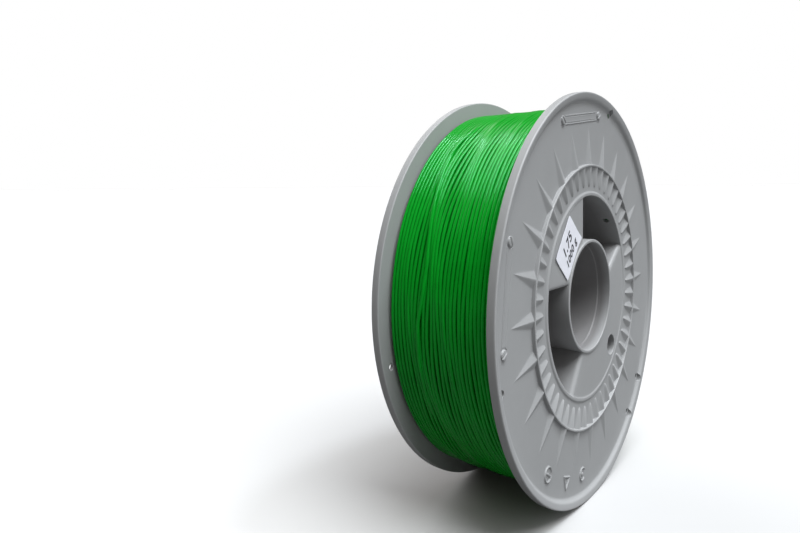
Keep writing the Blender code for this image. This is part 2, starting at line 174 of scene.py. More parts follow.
# Winding
LAYER_PITCH = 0.00152
DRAWN_SHARE = 0.95
STRAND_LANES = 0.02475
WINDING_RADIUS = 0.0930
WINDING_INNER_RADIUS = 0.0517
TAIL_ANGLE = radians(308)
TAIL_LANE = 0.0210
TAIL_RADIUS = 0.094175
TAIL_BEND = 0.0050
TAIL_END = TOP - 0.0003
START_BEND = 0.0050
START_LENGTH = 0.0120
TAIL_SWEEP = radians(24)

# Stretches that cross their neighbours: start and end angle in degrees, lane, sideways shift
CROSSINGS = (
    (176.0, 118.0, 0.0075, 0.0050),
    (150.0, 112.0, 0.0135, -0.0030),
    (212.0, 160.0, 0.0120, -0.0045),
    (40.0, -10.0, -0.0100, 0.0060),
    (300.0, 255.0, 0.0020, 0.0045),
)

# Label
LABEL_CIRCLE = 0.0380
LABEL_ANGLE = radians(136.2)
LABEL_TURN = radians(50.7)
LABEL_SHIFT = -0.0005
PRINT_THICKNESS = 0.00002
PRINT_WELD = 0.000001
LABEL_HEIGHT = PLATE + 0.0003
PAPER_THICKNESS = 0.00018
PRINT_LIFT = 0.00022
PRINT_LINES = (("1.75", 0.0066, (-0.0002, 0.0021)), ("1000 g", 0.0052, (-0.0002, -0.0040)))

CAMERA_SHIFT = (0.0775, -0.0794)

LABEL_SIDE = np.array(((1.0, 0.0, 0.0), (0.0, 0.0, -1.0), (0.0, 1.0, 0.0)))
FAR_SIDE = np.array(((0.0, -1.0, 0.0), (0.0, 0.0, 1.0), (-1.0, 0.0, 0.0)))
HALVES = {"label": (LABEL_SIDE, "label_half"), "far": (FAR_SIDE, "far_half")}


class SpoolSizes(bpy.types.PropertyGroup):
    """Sizes that a user would change."""

    strand: bpy.props.FloatProperty(
        name="Strand", description="Diameter of the strand", default=0.00175, unit="LENGTH"
    )
    turns: bpy.props.IntProperty(
        name="Turns", description="Turns of strand across the spool in one layer", default=28
    )
    drift: bpy.props.FloatProperty(
        name="Drift", description="How far the turns wander sideways", default=0.00050, unit="LENGTH"
    )
    insert_length: bpy.props.FloatProperty(
        name="Insert Length", description="Length of a rim insert", default=0.0470, unit="LENGTH"
    )
    insert_width: bpy.props.FloatProperty(
        name="Insert Width", description="Width of a rim insert", default=0.0046, unit="LENGTH"
    )
    label_length: bpy.props.FloatProperty(
        name="Label Length", description="Length of the label", default=0.0246, unit="LENGTH"
    )
    label_width: bpy.props.FloatProperty(
        name="Label Width", description="Width of the label", default=0.0175, unit="LENGTH"
    )


class SpoolColours(bpy.types.PropertyGroup):
    """Colours that a user would change."""

    plastic: bpy.props.FloatVectorProperty(
        name="Plastic", description="Moulded plastic", default=(0.322, 0.327, 0.331), subtype="COLOR"
    )
    filament: bpy.props.FloatVectorProperty(
        name="Filament", description="Wound strand", default=(0.0010, 0.290, 0.013), subtype="COLOR"
    )
    paper: bpy.props.FloatVectorProperty(
        name="Paper", description="Label paper", default=(0.80, 0.81, 0.87), subtype="COLOR"
    )
    ink: bpy.props.FloatVectorProperty(
        name="Ink", description="Print on the label", default=(0.045, 0.045, 0.055), subtype="COLOR"
    )
    floor: bpy.props.FloatVectorProperty(
        name="Floor", description="Studio floor", default=(0.53, 0.53, 0.53), subtype="COLOR"
    )


class SpoolStudio(bpy.types.PropertyGroup):
    """Lights and camera of the studio."""

    key: bpy.props.FloatProperty(
        name="Key", description="Strength of the soft light overhead", default=4.2
    )
    glint: bpy.props.FloatProperty(
        name="Glint", description="Strength of the small light that draws the highlights", default=0.8
    )
    front: bpy.props.FloatProperty(
        name="Front", description="Strength of the broad light in front", default=0.85
    )
    back: bpy.props.FloatProperty(
        name="Back", description="Strength of the soft light behind the spool", default=1.5
    )
    sky: bpy.props.FloatProperty(
        name="Sky", description="Strength of the light from all round", default=0.14
    )
    azimuth: bpy.props.FloatProperty(
        name="Azimuth", description="Camera's turn round the upright", default=radians(-47.22),
        unit="ROTATION",
    )
    elevation: bpy.props.FloatProperty(
        name="Elevation", description="Camera's tilt down", default=radians(1.52), unit="ROTATION"
    )
    roll: bpy.props.FloatProperty(
        name="Roll", description="Camera's roll", default=radians(-0.44), unit="ROTATION"
    )
    place: bpy.props.FloatVectorProperty(
        name="Place", description="Camera's place", default=(-0.30187, -0.13769, 0.05477),
        subtype="TRANSLATION",
    )
    lens: bpy.props.FloatProperty(name="Lens", description="Focal length in mm", default=26.99)


def grid_quads(rows, columns, wrap_rows, wrap_columns):
    """Quads of a grid of points, row after row, wrapped round in either direction."""
    index = np.arange(rows * columns).reshape(rows, columns)
    below = np.roll(index, -1, axis=0)
    quads = np.stack(
        (index, below, np.roll(below, -1, axis=1), np.roll(index, -1, axis=1)), axis=-1
    )
    quads = quads if wrap_rows else quads[:-1]
    quads = quads if wrap_columns else quads[:, :-1]
    return quads.reshape(-1, 4)


def make_mesh(name, points, faces, marks=None):
    """Put points, faces and float attributes of the points into a mesh."""
    mesh = bpy.data.meshes.new(name)
    mesh.from_pydata(points.reshape(-1, 3), [], faces)
    for mark, values in (marks or {}).items():
        attribute = mesh.attributes.new(mark, "FLOAT", "POINT")
        attribute.data.foreach_set("value", np.asarray(values, np.float32).ravel())
    return mesh


def close_mesh(mesh, crease=35.0):
    """Merge the doubles at poles and seams, turn faces outwards and shade between creases."""
    shape = bmesh.new()
    shape.from_mesh(mesh)
    bmesh.ops.remove_doubles(shape, verts=shape.verts, dist=1e-7)
    bmesh.ops.dissolve_degenerate(shape, edges=shape.edges, dist=1e-8)
    bmesh.ops.recalc_face_normals(shape, faces=shape.faces)
    shape.to_mesh(mesh)
    shape.free()
    mesh.shade_smooth()
    mesh.set_sharp_from_angle(angle=radians(crease))
    return mesh


def show(mesh, body, material, replaced=None):
    """Show a mesh as a piece that rides on a body and takes its finish from a slot."""
    mesh.materials.clear()
    mesh.materials.append(material)
    piece = bpy.data.objects.new(mesh.name, mesh)
    bpy.context.scene.collection.objects.link(piece)
    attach(piece, body)
    if replaced:
        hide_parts(replaced)
    return piece


def mark_painted_shade(mesh):
    """Mark where shade is painted: how deep each point lies inside the drum or the bore.

    The mark is the depth below the top of the painted shade over the depth where it is full,
    which is less in the bore. It is 0 outside the drum's inner wall, and at most 1.
    """
    places = np.empty(len(mesh.vertices) * 3)
    mesh.vertices.foreach_get("co", places)
    x, y, height = places.reshape(-1, 3).T
    radius = np.hypot(x, y)
    inside = radius < DRUM_INNER_RADIUS + 0.0002
    reach = np.where(radius < (BORE_RADIUS + BORE_OUTER_RADIUS) / 2, BORE_PAINTED_SHADE_DEPTH, PAINTED_SHADE_DEPTH)
    depth = np.clip((PAINTED_SHADE_TOP - height) / reach, 0, 1) * inside
    mark = mesh.attributes.new("recess", "FLOAT", "POINT")
    mark.data.foreach_set("value", depth.astype(np.float32))


def show_on_halves(mesh, stem, replaces_half=False):
    """Show one moulded mesh on both halves, turned from the half's frame to its side."""
    for side, (turn, body) in HALVES.items():
        placed = mesh.copy()
        placed.name = f"{stem}_{side}"
        # Mark where shade is painted inside the drum and the bore
        mark_painted_shade(placed)
        placed.transform(Matrix(turn.tolist()).to_4x4())
        node = f"{side}_side_half" if replaces_half else None
        show(placed, body, moulded_plastic(), node)
    bpy.data.meshes.remove(mesh)


def soft_profile(corners, steps=5):
    """Closed profile with rounded corners, and how far each point stands on an outer edge, which
    marks where highlights are painted.

    A corner is (radius, height, softness). It is cut back along both of its edges by its
    softness, and the cut is bridged by the parabola whose control point is the corner. The
    edge mark is the sine of the corner's turn times 4 s (1 - s), with s the way along it.
    """
    corners = np.asarray(corners, float)
    places = corners[:, :2]
    into = np.roll(places, 1, axis=0) - places
    out = np.roll(places, -1, axis=0) - places
    into_length = np.linalg.norm(into, axis=1, keepdims=True)
    out_length = np.linalg.norm(out, axis=1, keepdims=True)
    cut = np.minimum(corners[:, 2:], 0.45 * np.minimum(into_length, out_length))
    start = places + into / into_length * cut
    end = places + out / out_length * cut
    share = np.linspace(0, 1, steps)[None, :, None]
    arcs = (
        (1 - share) ** 2 * start[:, None]
        + 2 * share * (1 - share) * places[:, None]
        + share**2 * end[:, None]
    )
    turn = (into[:, 0] * out[:, 1] - into[:, 1] * out[:, 0]) / (into_length * out_length)[:, 0]
    edge = np.clip(turn, 0, 1)[:, None] * 4 * share[..., 0] * (1 - share[..., 0])
    points = arcs.reshape(-1, 2)
    kept = np.linalg.norm(points - np.roll(points, 1, axis=0), axis=1) > 1e-7
    return points[kept], edge.reshape(-1)[kept]


def turned(radius, angle, height):
    """Points at a radius, an angle and a height round Z: x = r cos a, y = r sin a, z = h."""
    radius, angle, height = np.broadcast_arrays(radius, angle, height)
    return np.stack((radius * np.cos(angle), radius * np.sin(angle), height), axis=-1)


def lathe_points(profile, columns):
    """Turn a (radius, height) profile round Z."""
    angle = np.linspace(0, 2 * pi, columns, endpoint=False)[None]
    return turned(profile[:, :1], angle, profile[:, 1:])


def lathe_mesh(name, corners, columns, centres=((0.0, 0.0),)):
    """Closed turned shape at one or more centres, from a profile with soft corners."""
    profile, edge = soft_profile(corners)
    points = lathe_points(profile, columns)
    quads = grid_quads(len(profile), columns, True, True)
    centres = np.column_stack((np.asarray(centres), np.zeros(len(centres))))
    placed = points[None] + centres[:, None, None]
    count = points.shape[0] * points.shape[1]
    faces = quads[None] + (np.arange(len(centres)) * count)[:, None, None]
    # Mark for painted highlights on the profile's outer edges
    marks = {"edge": np.tile(np.repeat(edge, columns), len(centres))}
    return close_mesh(make_mesh(name, placed, faces.reshape(-1, 4), marks))


def polar(radius, angle):
    """Points at a radius and an angle round Z, as pairs of x and y."""
    return np.stack((radius * np.cos(angle), radius * np.sin(angle)), axis=-1)


def rod_cutter(name, centre, axis, radius, length, sides=24):
    """Closed rod round an axis, for cutting a hole: a circle carried from end to end."""
    axis = np.asarray(axis, float)
    across = np.cross(axis, (0.0, 0.0, 1.0) if abs(axis[2]) < 0.9 else (1.0, 0.0, 0.0))
    across /= np.linalg.norm(across)
    second = np.cross(axis, across)
    turn = np.linspace(0, 2 * pi, sides, endpoint=False)[:, None]
    ring = radius * (across * np.cos(turn) + second * np.sin(turn))
    ends = np.asarray(centre) + np.array([[-0.5], [0.5]]) * length * axis
    points = ring[None] + ends[:, None]
    faces = grid_quads(2, sides, False, True).tolist()
    faces += [list(range(sides)), list(range(sides, 2 * sides))]
    return close_mesh(make_mesh(name, points, faces))


def cut(mesh, cutters):
    """Cut closed shapes out of a mesh and return the finished mesh."""
    scene = bpy.context.scene.collection.objects
    body = bpy.data.objects.new("cut_body", mesh)
    scene.link(body)
    tools = [bpy.data.objects.new(cutter.name, cutter) for cutter in cutters]
    for tool in tools:
        scene.link(tool)
        modifier = body.modifiers.new(tool.name, "BOOLEAN")
        modifier.operation = "DIFFERENCE"
        modifier.solver = "EXACT"
        modifier.object = tool
    graph = bpy.context.evaluated_depsgraph_get()
    done = bpy.data.meshes.new_from_object(body.evaluated_get(graph))
    for used in [body, *tools]:
        data = used.data
        bpy.data.objects.remove(used)
        bpy.data.meshes.remove(data)
    done.set_sharp_from_angle(angle=radians(35))
    return done


def flange_profile():
    """Corners of the flange and drum wall as (radius, height, softness), clockwise.

    The face has extra rows that follow the gussets, closest together at their tips.
    """
    inner_rows = np.array((53.0, 53.6, 53.95, 54.1, 54.3, 54.6, 55.1, 56.0, 57.3, 58.9, 60.5))
    inner_rows = np.append(inner_rows, (62.3, 63.3)) * 0.001
    outer_rows = np.append((65.4, 65.9), np.arange(67.0, 84.0, 1.25)) * 0.001
    outer_rows = np.append(outer_rows, (0.0840, 0.0848, 0.0865, 0.0900))
    face = [(radius, FACE, 0.0) for radius in inner_rows]
    outer_face = [(radius, FACE, 0.0) for radius in outer_rows]
    lip = FLANGE_RADIUS - LIP_WIDTH
    return [
        (DRUM_INNER_RADIUS, BASE, 0.0002),
        # Rows where the painted shade on the drum's inner wall is full and where it starts
        (DRUM_INNER_RADIUS, PAINTED_SHADE_TOP - PAINTED_SHADE_DEPTH, 0.0),
        (DRUM_INNER_RADIUS, PAINTED_SHADE_TOP, 0.0),
        (DRUM_INNER_RADIUS, DRUM_EDGE, 0.0005),
        (DRUM_RADIUS - 0.0003, DRUM_EDGE, 0.0006),
        (DRUM_RADIUS + 0.0004, FACE, 0.0005),
        *face,
        (RING_INNER_RADIUS - RING_DRAFT, FACE, 0.0002),
        (RING_INNER_RADIUS, RING_TOP, 0.0003),
        (RING_RADIUS, RING_TOP, 0.0003),
        (RING_RADIUS + RING_DRAFT, FACE, 0.0002),
        *outer_face,
        (lip - LIP_SLOPE, FACE, 0.0009),
        (lip, TOP - LIP_FALL, 0.0009),
        (FLANGE_RADIUS, TOP, 0.0009),
        (FLANGE_RADIUS, INNER_FACE, 0.0006),
        (DRUM_RADIUS, INNER_FACE, 0.0005),
        (DRUM_RADIUS, BASE, 0.0002),
    ]


def spread_columns(radius, half_width):
    """Places across one sector, from its middle outwards, that follow a gusset's edges.

    Six columns lie on the slope at fixed shares of its half width, and three divide the flat
    that is left out to the sector's edge.
    """
    slope = np.array((0.0, 0.07, 0.3, 0.55, 0.8, 0.96))
    flat = np.array((0.15, 0.5, 1.0))
    edge = radius * pi / SECTORS
    width = np.clip(half_width, 0.0005, edge - 0.0002)[:, None]
    places = np.concatenate((slope * width, width + (edge[:, None] - width) * flat), axis=1)
    return np.concatenate((-places[:, :0:-1], places[:, :-1]), axis=1)


def gusset_rise(across, share, half_width, height):
    """Height of a gusset: a ridge that falls evenly to both feet, both slightly rounded.

    With s the distance across over the half width and a = sqrt(s^2 + 0.08^2), the height is
    the gusset's height here times the soft positive part of 1 - a.
    """
    width = np.maximum(half_width, 1e-5)[:, None]
    ridge = 1 - np.sqrt((across / width) ** 2 + 0.08**2)
    soft = 0.5 * (ridge + np.sqrt(ridge**2 + 0.06**2))
    return np.where(share[:, None] > 0, height[:, None] * soft, 0.0)


def flange_surface():
    """Flange, ring, gussets, lip and drum wall as one closed grid in the half's frame.

    Rows follow the profile round and columns go round the axis. On the outer face the columns
    move sideways to follow the gusset edges, and the height is the larger of the profile's
    own and the gusset's: half width and height grow from the tip as u^0.45 and u^0.32 inside
    the ring and as u outside it, with u the way from tip to ring.
    """
    profile, edge_mark = soft_profile(flange_profile())
    radius, height = profile[:, 0], profile[:, 1]
    on_face = (height > INNER_FACE + 0.001) & (radius > DRUM_RADIUS) & (radius < 0.0952)
    small_share = np.clip((radius - SMALL_TIP) / (GUSSET_FOOT - SMALL_TIP), 0, 1)
    large_share = np.clip((LARGE_TIP - radius) / (LARGE_TIP - GUSSET_FOOT), 0, 1)
    small_width = SMALL_HALF_WIDTH * small_share**0.45
    large_width = LARGE_HALF_WIDTH * large_share
    even = np.linspace(-1, 1, 17)[None, :-1] * (radius * pi / SECTORS)[:, None]
    small = spread_columns(radius, small_width)
    large = spread_columns(radius, large_width)
    past_ring = np.clip((radius - 0.0641) / 0.0008, 0, 1)[:, None]
    follow = np.clip((radius - 0.0515) / 0.0022, 0, 1) * np.clip((0.0910 - radius) / 0.0065, 0, 1)
    follow = np.where(on_face, follow, 0.0)[:, None]
    with_large = even + follow * ((1 - past_ring) * small + past_ring * large - even)
    without = even + follow * ((1 - past_ring) * small + past_ring * even - even)
    across = np.stack((with_large, without), axis=1)
    middle = GUSSET_PHASE + np.arange(SECTORS).reshape(-1, 2) * 2 * pi / SECTORS
    angle = middle[None, :, :, None] + (across / radius[:, None, None])[:, None]
    angle = angle.reshape(len(radius), -1)
    inside = (on_face & (radius <= 0.0645))[:, None]
    outside = (on_face & (radius > 0.0645))[:, None]
    small_height = GUSSET_HEIGHT * small_share**0.32
    large_height = GUSSET_HEIGHT * large_share
    rises = []
    for places, has_large in ((with_large, True), (without, False)):
        rise = gusset_rise(places, small_share, small_width, small_height) * inside
        if has_large:
            rise = rise + gusset_rise(places, large_share, large_width, large_height) * outside
        rises.append(rise)
    rise = np.tile(np.stack(rises, axis=1)[:, None], (1, SECTORS // 2, 1, 1))
    rise = rise.reshape(len(radius), -1)
    heights = np.maximum(height[:, None], FACE + rise)
    heights = np.where(on_face[:, None], heights, height[:, None])
    points = turned(radius[:, None], angle, heights)
    # Mark for painted highlights: the profile's outer edges and the gusset ridges
    ridge = np.exp(-((across / 0.0004) ** 2))
    ridge = np.tile(ridge[:, None], (1, SECTORS // 2, 1, 1)).reshape(len(radius), -1)
    mark = np.maximum(edge_mark[:, None], ridge * np.clip(rise / GUSSET_HEIGHT * 3, 0, 1))
    return points, mark


def shell_mesh(name, outer, inner):
    """Closed shell between two grids of points of the same size, joined along their borders."""
    rows, columns = outer.shape[:2]
    count = rows * columns
    index = np.arange(count).reshape(rows, columns)
    skin = grid_quads(rows, columns, False, False)
    border = np.concatenate(
        (index[0, :-1], index[:-1, -1], index[-1, :0:-1], index[:0:-1, 0])
    )
    ahead = np.roll(border, -1)
    walls = np.stack((border, ahead, ahead + count, border + count), axis=-1)
    faces = np.concatenate((skin, skin[:, ::-1] + count, walls))
    points = np.concatenate((outer.reshape(-1, 3), inner.reshape(-1, 3)))
    return close_mesh(make_mesh(name, points, faces))


def plate_skin(radius, start, end, offset, high, softness):
    """One skin of a hub plate with its two spoke walls, from window to window.

    The skin climbs a spoke wall that runs beside the start radius at the offset, turns over a
    parabola of that softness, crosses the plate and goes down the other wall. At radius r a
    wall stands at the angle asin(offset / r) from its own radius. The plate rises by a small
    fillet where it meets the tube and the drum, and sinks once it is inside their walls.
    """
    share = np.linspace(0, 1, 7)
    arc_offset = offset + softness * share**2
    arc_height = high - softness * (1 - share) ** 2
    offsets = np.concatenate(((offset, offset, offset), arc_offset))
    heights = np.concatenate(((BASE, 0.010, 0.020), arc_height))
    lean = np.arcsin(offsets[None] / radius[:, None])
    left = start + lean
    right = (end - lean)[:, ::-1]
    span = np.linspace(0, 1, 26)[None, 1:-1]
    middle = left[:, -1:] + (right[:, :1] - left[:, -1:]) * span
    angle = np.concatenate((left, middle, right), axis=1)
    level = np.concatenate((heights, np.full(span.size, high), heights[::-1]))
    into_tube = BORE_OUTER_RADIUS - radius
    into_drum = radius - DRUM_INNER_RADIUS
    rise = PLATE_FILLET * np.clip(1 + into_tube / 0.0004, 0, 1) ** 2
    rise += PLATE_FILLET * np.clip(1 + into_drum / 0.0005, 0, 1) ** 2
    rise -= PLATE_SINK * np.clip((into_tube - 0.0001) / 0.0004, 0, 1)
    rise -= PLATE_SINK * np.clip((into_drum - 0.0001) / 0.0004, 0, 1)
    height = level[None] + rise[:, None] * (level[None] / high) ** 12
    return turned(radius[:, None], angle, height)


def hub_plate_mesh(span):
    """A hub plate and its spokes as a closed shell that ends inside the tube and the drum."""
    radius = np.array((27.0, 27.5, 27.9, 28.0, 28.1, 28.2, 28.4, 29.5, 31.0, 33.0, 35.0, 37.0))
    radius = np.append(radius, (39.0, 41.0, 43.0, 45.0, 47.0, 48.3, 49.1, 49.3, 49.5, 49.7))
    radius = np.append(radius, (50.1, 50.6)) * 0.001
    start, end = np.radians(PLATE_SPANS[span])
    outer = plate_skin(radius, start, end, WINDOW_OFFSET, PLATE, SPOKE_ROUND)
    inner_offset = WINDOW_OFFSET + SPOKE_WALL
    low = PLATE - PLATE_THICKNESS
    inner = plate_skin(radius, start, end, inner_offset, low, SPOKE_INNER_ROUND)
    return shell_mesh(f"hub_plate_{span}", outer, inner)


def relief_patch(name, circle, angle, length, width, spacing, height_of):
    """Low relief on the flange face: a height field on a flat grid beside a radius.

    The grid's x runs round the axis and its y outwards from the circle. Its skin stands at
    FACE plus the height function, and its underside lies inside the disc.
    """
    x = np.linspace(-length / 2, length / 2, round(length / spacing) + 1)[None]
    y = np.linspace(-width / 2, width / 2, round(width / spacing) + 1)[:, None]
    x, y = np.broadcast_arrays(x, y)
    height = height_of(x, y)
    radial = np.array((np.cos(angle), np.sin(angle)))
    around = np.array((-np.sin(angle), np.cos(angle)))
    flat = radial * (circle + y[..., None]) + around * x[..., None]
    skins = [
        np.concatenate((flat, (FACE + level)[..., None]), axis=-1)
        for level in (height, np.full_like(height, -RELIEF_SINK))
    ]
    return shell_mesh(name, *skins)


def rounded_box(x, y, length, width, corner):
    """Signed distance to a rounded rectangle's outline, negative inside."""
    dx = np.abs(x) - length / 2 + corner
    dy = np.abs(y) - width / 2 + corner
    outside = np.hypot(np.maximum(dx, 0), np.maximum(dy, 0))
    return outside + np.minimum(np.maximum(dx, dy), 0) - corner


def step_up(distance, soft=0.00012):
    """Smooth step from 0 outside an outline to 1 inside it, by its signed distance."""
    return 0.5 - 0.5 * np.tanh(distance / soft)


def smooth_step(share):
    """Smooth step between 0 and 1: 3 s^2 - 2 s^3."""
    return share * share * (3 - 2 * share)


def insert_height(x, y):
    """Heights of a rim insert: a raised plate with a groove inside its edge, and two screws.

    Each screw is a dome with a straight slot across it, in a shallow ring.
    """
    sizes = bpy.context.scene.spool_sizes
    box = rounded_box(x, y, sizes.insert_length, sizes.insert_width, 0.0012)
    groove = np.exp(-(((box + 0.00085) / 0.00022) ** 2))
    plate = INSERT_RISE * step_up(box) - INSERT_GROOVE * groove
    height = plate - 0.00012 * step_up(box + 0.0013) - 0.0002 * step_up(-box)
    for side, turn in zip((-1, 1), SCREW_TURNS):
        dx = x - side * (sizes.insert_length / 2 - 0.0015)
        away = np.hypot(dx, y)
        dome = 0.00055 + 0.00030 * np.sqrt(np.clip(1 - (away / SCREW_RADIUS) ** 2, 0, 1))
        slot = np.abs(dx * np.sin(turn) + y * np.cos(turn)) - 0.00030
        dome = dome - 0.00055 * step_up(slot)
        height = np.where(away < SCREW_RADIUS + 0.0005, -0.0002, height)
        height = np.maximum(height, (dome + 0.0003) * step_up(away - 0.0022) - 0.0003)
    return height


def mark_height(kind):
    """Height function of a small moulded mark made of plain strokes."""

    def heights(x, y):
        away = np.hypot(x, y)
        if kind == "dial":
            ring = np.abs(away - 0.0033) - STROKE_HALF_WIDTH
            line = np.minimum(ring, rounded_box(x - 0.0006, y, 0.0044, 0.0009, 0.0003))
        elif kind == "triangle":
            turns = np.radians((180.0, 60.0, -60.0))
            sides = np.stack([x * np.sin(turn) + y * np.cos(turn) for turn in turns])
            line = np.abs(sides.max(axis=0) - 0.0019) - STROKE_HALF_WIDTH
        else:
            ring = np.abs(away - 0.0030) - STROKE_HALF_WIDTH
            gap = np.abs(np.arctan2(y, x)) < 0.7
            line = np.minimum(np.where(gap, 0.001, ring), away - 0.0009)
        return MARK_RISE * step_up(line) - 0.00005

    return heights


def drift(angle, lane):
    """Sideways drift of the turns: the sum of waves round the spool.

    Long waves are shared by neighbouring turns, short ones differ from turn to turn, and all
    die away towards the flanges.
    """
    draw = np.random.default_rng(11)
    slow = (draw.integers(3, 10, 9), draw.uniform(150, 620, 9), draw.uniform(0.12, 0.40, 9))
    quick = (draw.integers(5, 16, 8), draw.uniform(1200, 3200, 8), draw.uniform(0.06, 0.15, 8))
    waves, reach, size = (np.concatenate(pair) for pair in zip(slow, quick))
    phase = draw.uniform(0, 2 * pi, len(waves))
    total = size * np.sin(waves * angle[..., None] + reach * lane[..., None] + phase)
    room = 1 - (np.abs(lane) / (STRAND_LANES + 0.0004)) ** 5
    return bpy.context.scene.spool_sizes.drift * total.sum(axis=-1) * np.clip(room, 0, 1)


def tube_mesh(name, path, outward, radius, sides):
    """Round strand: a circle carried along a path, with rounded ends.

    The circle stands on the path's direction, found by differences, with one axis as near as
    it can be to the outward direction. Near each end its radius falls as a quarter circle.
    """
    tangent = np.gradient(path, axis=0)
    tangent /= np.linalg.norm(tangent, axis=1, keepdims=True)
    side = np.cross(tangent, outward)
    side /= np.linalg.norm(side, axis=1, keepdims=True)
    up = np.cross(side, tangent)
    lead = radius * np.array((-1.0, -0.87, -0.5))
    before = path[:1] + tangent[:1] * lead[:, None]
    after = path[-1:] - tangent[-1:] * lead[::-1, None]
    path = np.concatenate((before, path, after))
    grow = np.concatenate(((0.0, 0.5, 0.87), np.ones(len(tangent)), (0.87, 0.5, 0.0))) * radius
    side = np.concatenate((side[:1].repeat(3, 0), side, side[-1:].repeat(3, 0)))
    up = np.concatenate((up[:1].repeat(3, 0), up, up[-1:].repeat(3, 0)))
    turn = np.linspace(0, 2 * pi, sides, endpoint=False)[None, :, None]
    ring = side[:, None] * np.cos(turn) + up[:, None] * np.sin(turn)
    points = path[:, None] + ring * grow[:, None, None]
    faces = grid_quads(len(path), sides, False, True)
    return close_mesh(make_mesh(name, points, faces), 80.0)


def wound_path(first, last, per_turn, pitch, start_lane, centre):
    """Middle line of the wound strand between two counts of turns, and its outward direction.

    After t turns the strand is 2 pi t back from where its outer end rises, and at the lane
    start + pitch t plus its drift. Where the drift brings the next turn closer than a
    diameter, it rides up by two thirds of what is missing.
    """
    strand = bpy.context.scene.spool_sizes.strand
    turns = np.linspace(first, last, round((last - first) * per_turn) + 1)
    angle = TAIL_ANGLE + TAIL_BEND / TAIL_RADIUS + TAIL_SWEEP - 2 * pi * turns
    lane = start_lane + pitch * turns
    place = lane + drift(angle, lane)
    ahead = lane + pitch + drift(angle, lane + pitch)
    squeeze = np.clip(strand - (ahead - place), 0, strand / 2)
    return strand_line(centre + 0.66 * squeeze, angle, place)


def strand_line(radius, angle, place):
    """Points at a radius and angle round the spool's axis and a place along it."""
    outward = np.stack((np.cos(angle), np.zeros_like(angle), np.sin(angle)), axis=-1)
    path = outward * np.broadcast_to(radius, angle.shape)[..., None]
    path[..., 1] = place
    return path, outward


def set_inputs(tree, node, inputs):
    """Give each input its value, or link it to the socket that is given for it."""
    for name, value in inputs.items():
        if isinstance(value, bpy.types.NodeSocket):
            tree.links.new(value, node.inputs[name])
        else:
            node.inputs[name].default_value = value


def add_node(tree, kind, inputs=None, **settings):
    """Add a node with its settings and its inputs."""
    node = tree.nodes.new(kind)
    for name, value in settings.items():
        setattr(node, name, value)
    set_inputs(tree, node, inputs or {})
    return node


def multiply_add(tree, value, factor, extra):
    """Socket of a value times a factor plus an extra."""
    inputs = {0: value, 1: factor, 2: extra}
    return add_node(tree, "ShaderNodeMath", inputs, operation="MULTIPLY_ADD").outputs["Value"]


def scaled(tree, colour, factor):
    """Socket of a colour times a factor."""
    inputs = {"Vector": colour, "Scale": factor}
    return add_node(tree, "ShaderNodeVectorMath", inputs, operation="SCALE").outputs["Vector"]


def patchy_colour(group, given):
    """Make a colour lighter and darker in soft patches."""
    noise = add_node(
        group, "ShaderNodeTexNoise",
        {"Vector": given["Vector"], "Scale": given["Scale"], "Detail": 4.0, "Roughness": 0.6},
    )
    centred = multiply_add(group, noise.outputs["Fac"], 4.0, -2.0)
    swing = multiply_add(group, centred, given["Amount"], 1.0)
    return {"Colour": scaled(group, given["Colour"], swing)}


def fine_grain(group, given):
    """Make a fine bump height, and a roughness that varies in broader patches."""
    fine = add_node(
        group, "ShaderNodeTexNoise",
        {"Vector": given["Vector"], "Scale": given["Scale"], "Detail": 3.0, "Roughness": 0.55},
    )
    broad_scale = multiply_add(group, given["Scale"], 0.03, 0.0)
    broad = add_node(
        group, "ShaderNodeTexNoise",
        {"Vector": given["Vector"], "Scale": broad_scale, "Detail": 4.0, "Roughness": 0.65},
    )
    centred = multiply_add(group, broad.outputs["Fac"], 1.0, -0.5)
    rough = multiply_add(group, centred, given["Spread"], given["Roughness"])
    return {"Roughness": rough, "Height": fine.outputs["Fac"]}


def light_edges(group, given):
    """Paint highlights: lighten a colour where a mask marks outer edges."""
    gain = multiply_add(group, given["Mask"], given["Gain"], 1.0)
    return {"Colour": scaled(group, given["Colour"], gain)}


def recess_shade(group, given):
    """Paint shade: tint a colour towards a darker one where a mask marks deep places."""
    inputs = {0: given["Colour"], 1: given["Tint"]}
    deep = add_node(group, "ShaderNodeVectorMath", inputs, operation="MULTIPLY")
    inputs = {0: given["Mask"], 4: given["Colour"], 5: deep.outputs["Vector"]}
    return {"Colour": add_node(group, "ShaderNodeMix", inputs, data_type="VECTOR").outputs[1]}


GREY = (0.5, 0.5, 0.5, 1.0)
# Shared groups: inputs as (name, kind, default), outputs as (name, kind), and what fills them
GROUPS = {
    "patchy_colour": (
        (("Vector", "Vector", None), ("Colour", "Color", GREY), ("Scale", "Float", 40.0),
         ("Amount", "Float", 0.05)),
        (("Colour", "Color"),),
        patchy_colour,
    ),
    "fine_grain": (
        (("Vector", "Vector", None), ("Scale", "Float", 3000.0), ("Roughness", "Float", 0.5),
         ("Spread", "Float", 0.1)),
        (("Roughness", "Float"), ("Height", "Float")),
        fine_grain,
    ),
    # Painted highlight on outer edges
    "light_edges": (
        (("Colour", "Color", GREY), ("Mask", "Float", 0.0), ("Gain", "Float", 0.25)),
        (("Colour", "Color"),),
        light_edges,
    ),
    # Painted shade in deep places, by a darker tint
    "recess_shade": (
        (("Colour", "Color", GREY), ("Tint", "Vector", (0.6, 0.5, 0.5)), ("Mask", "Float", 0.0)),
        (("Colour", "Color"),),
        recess_shade,
    ),
}


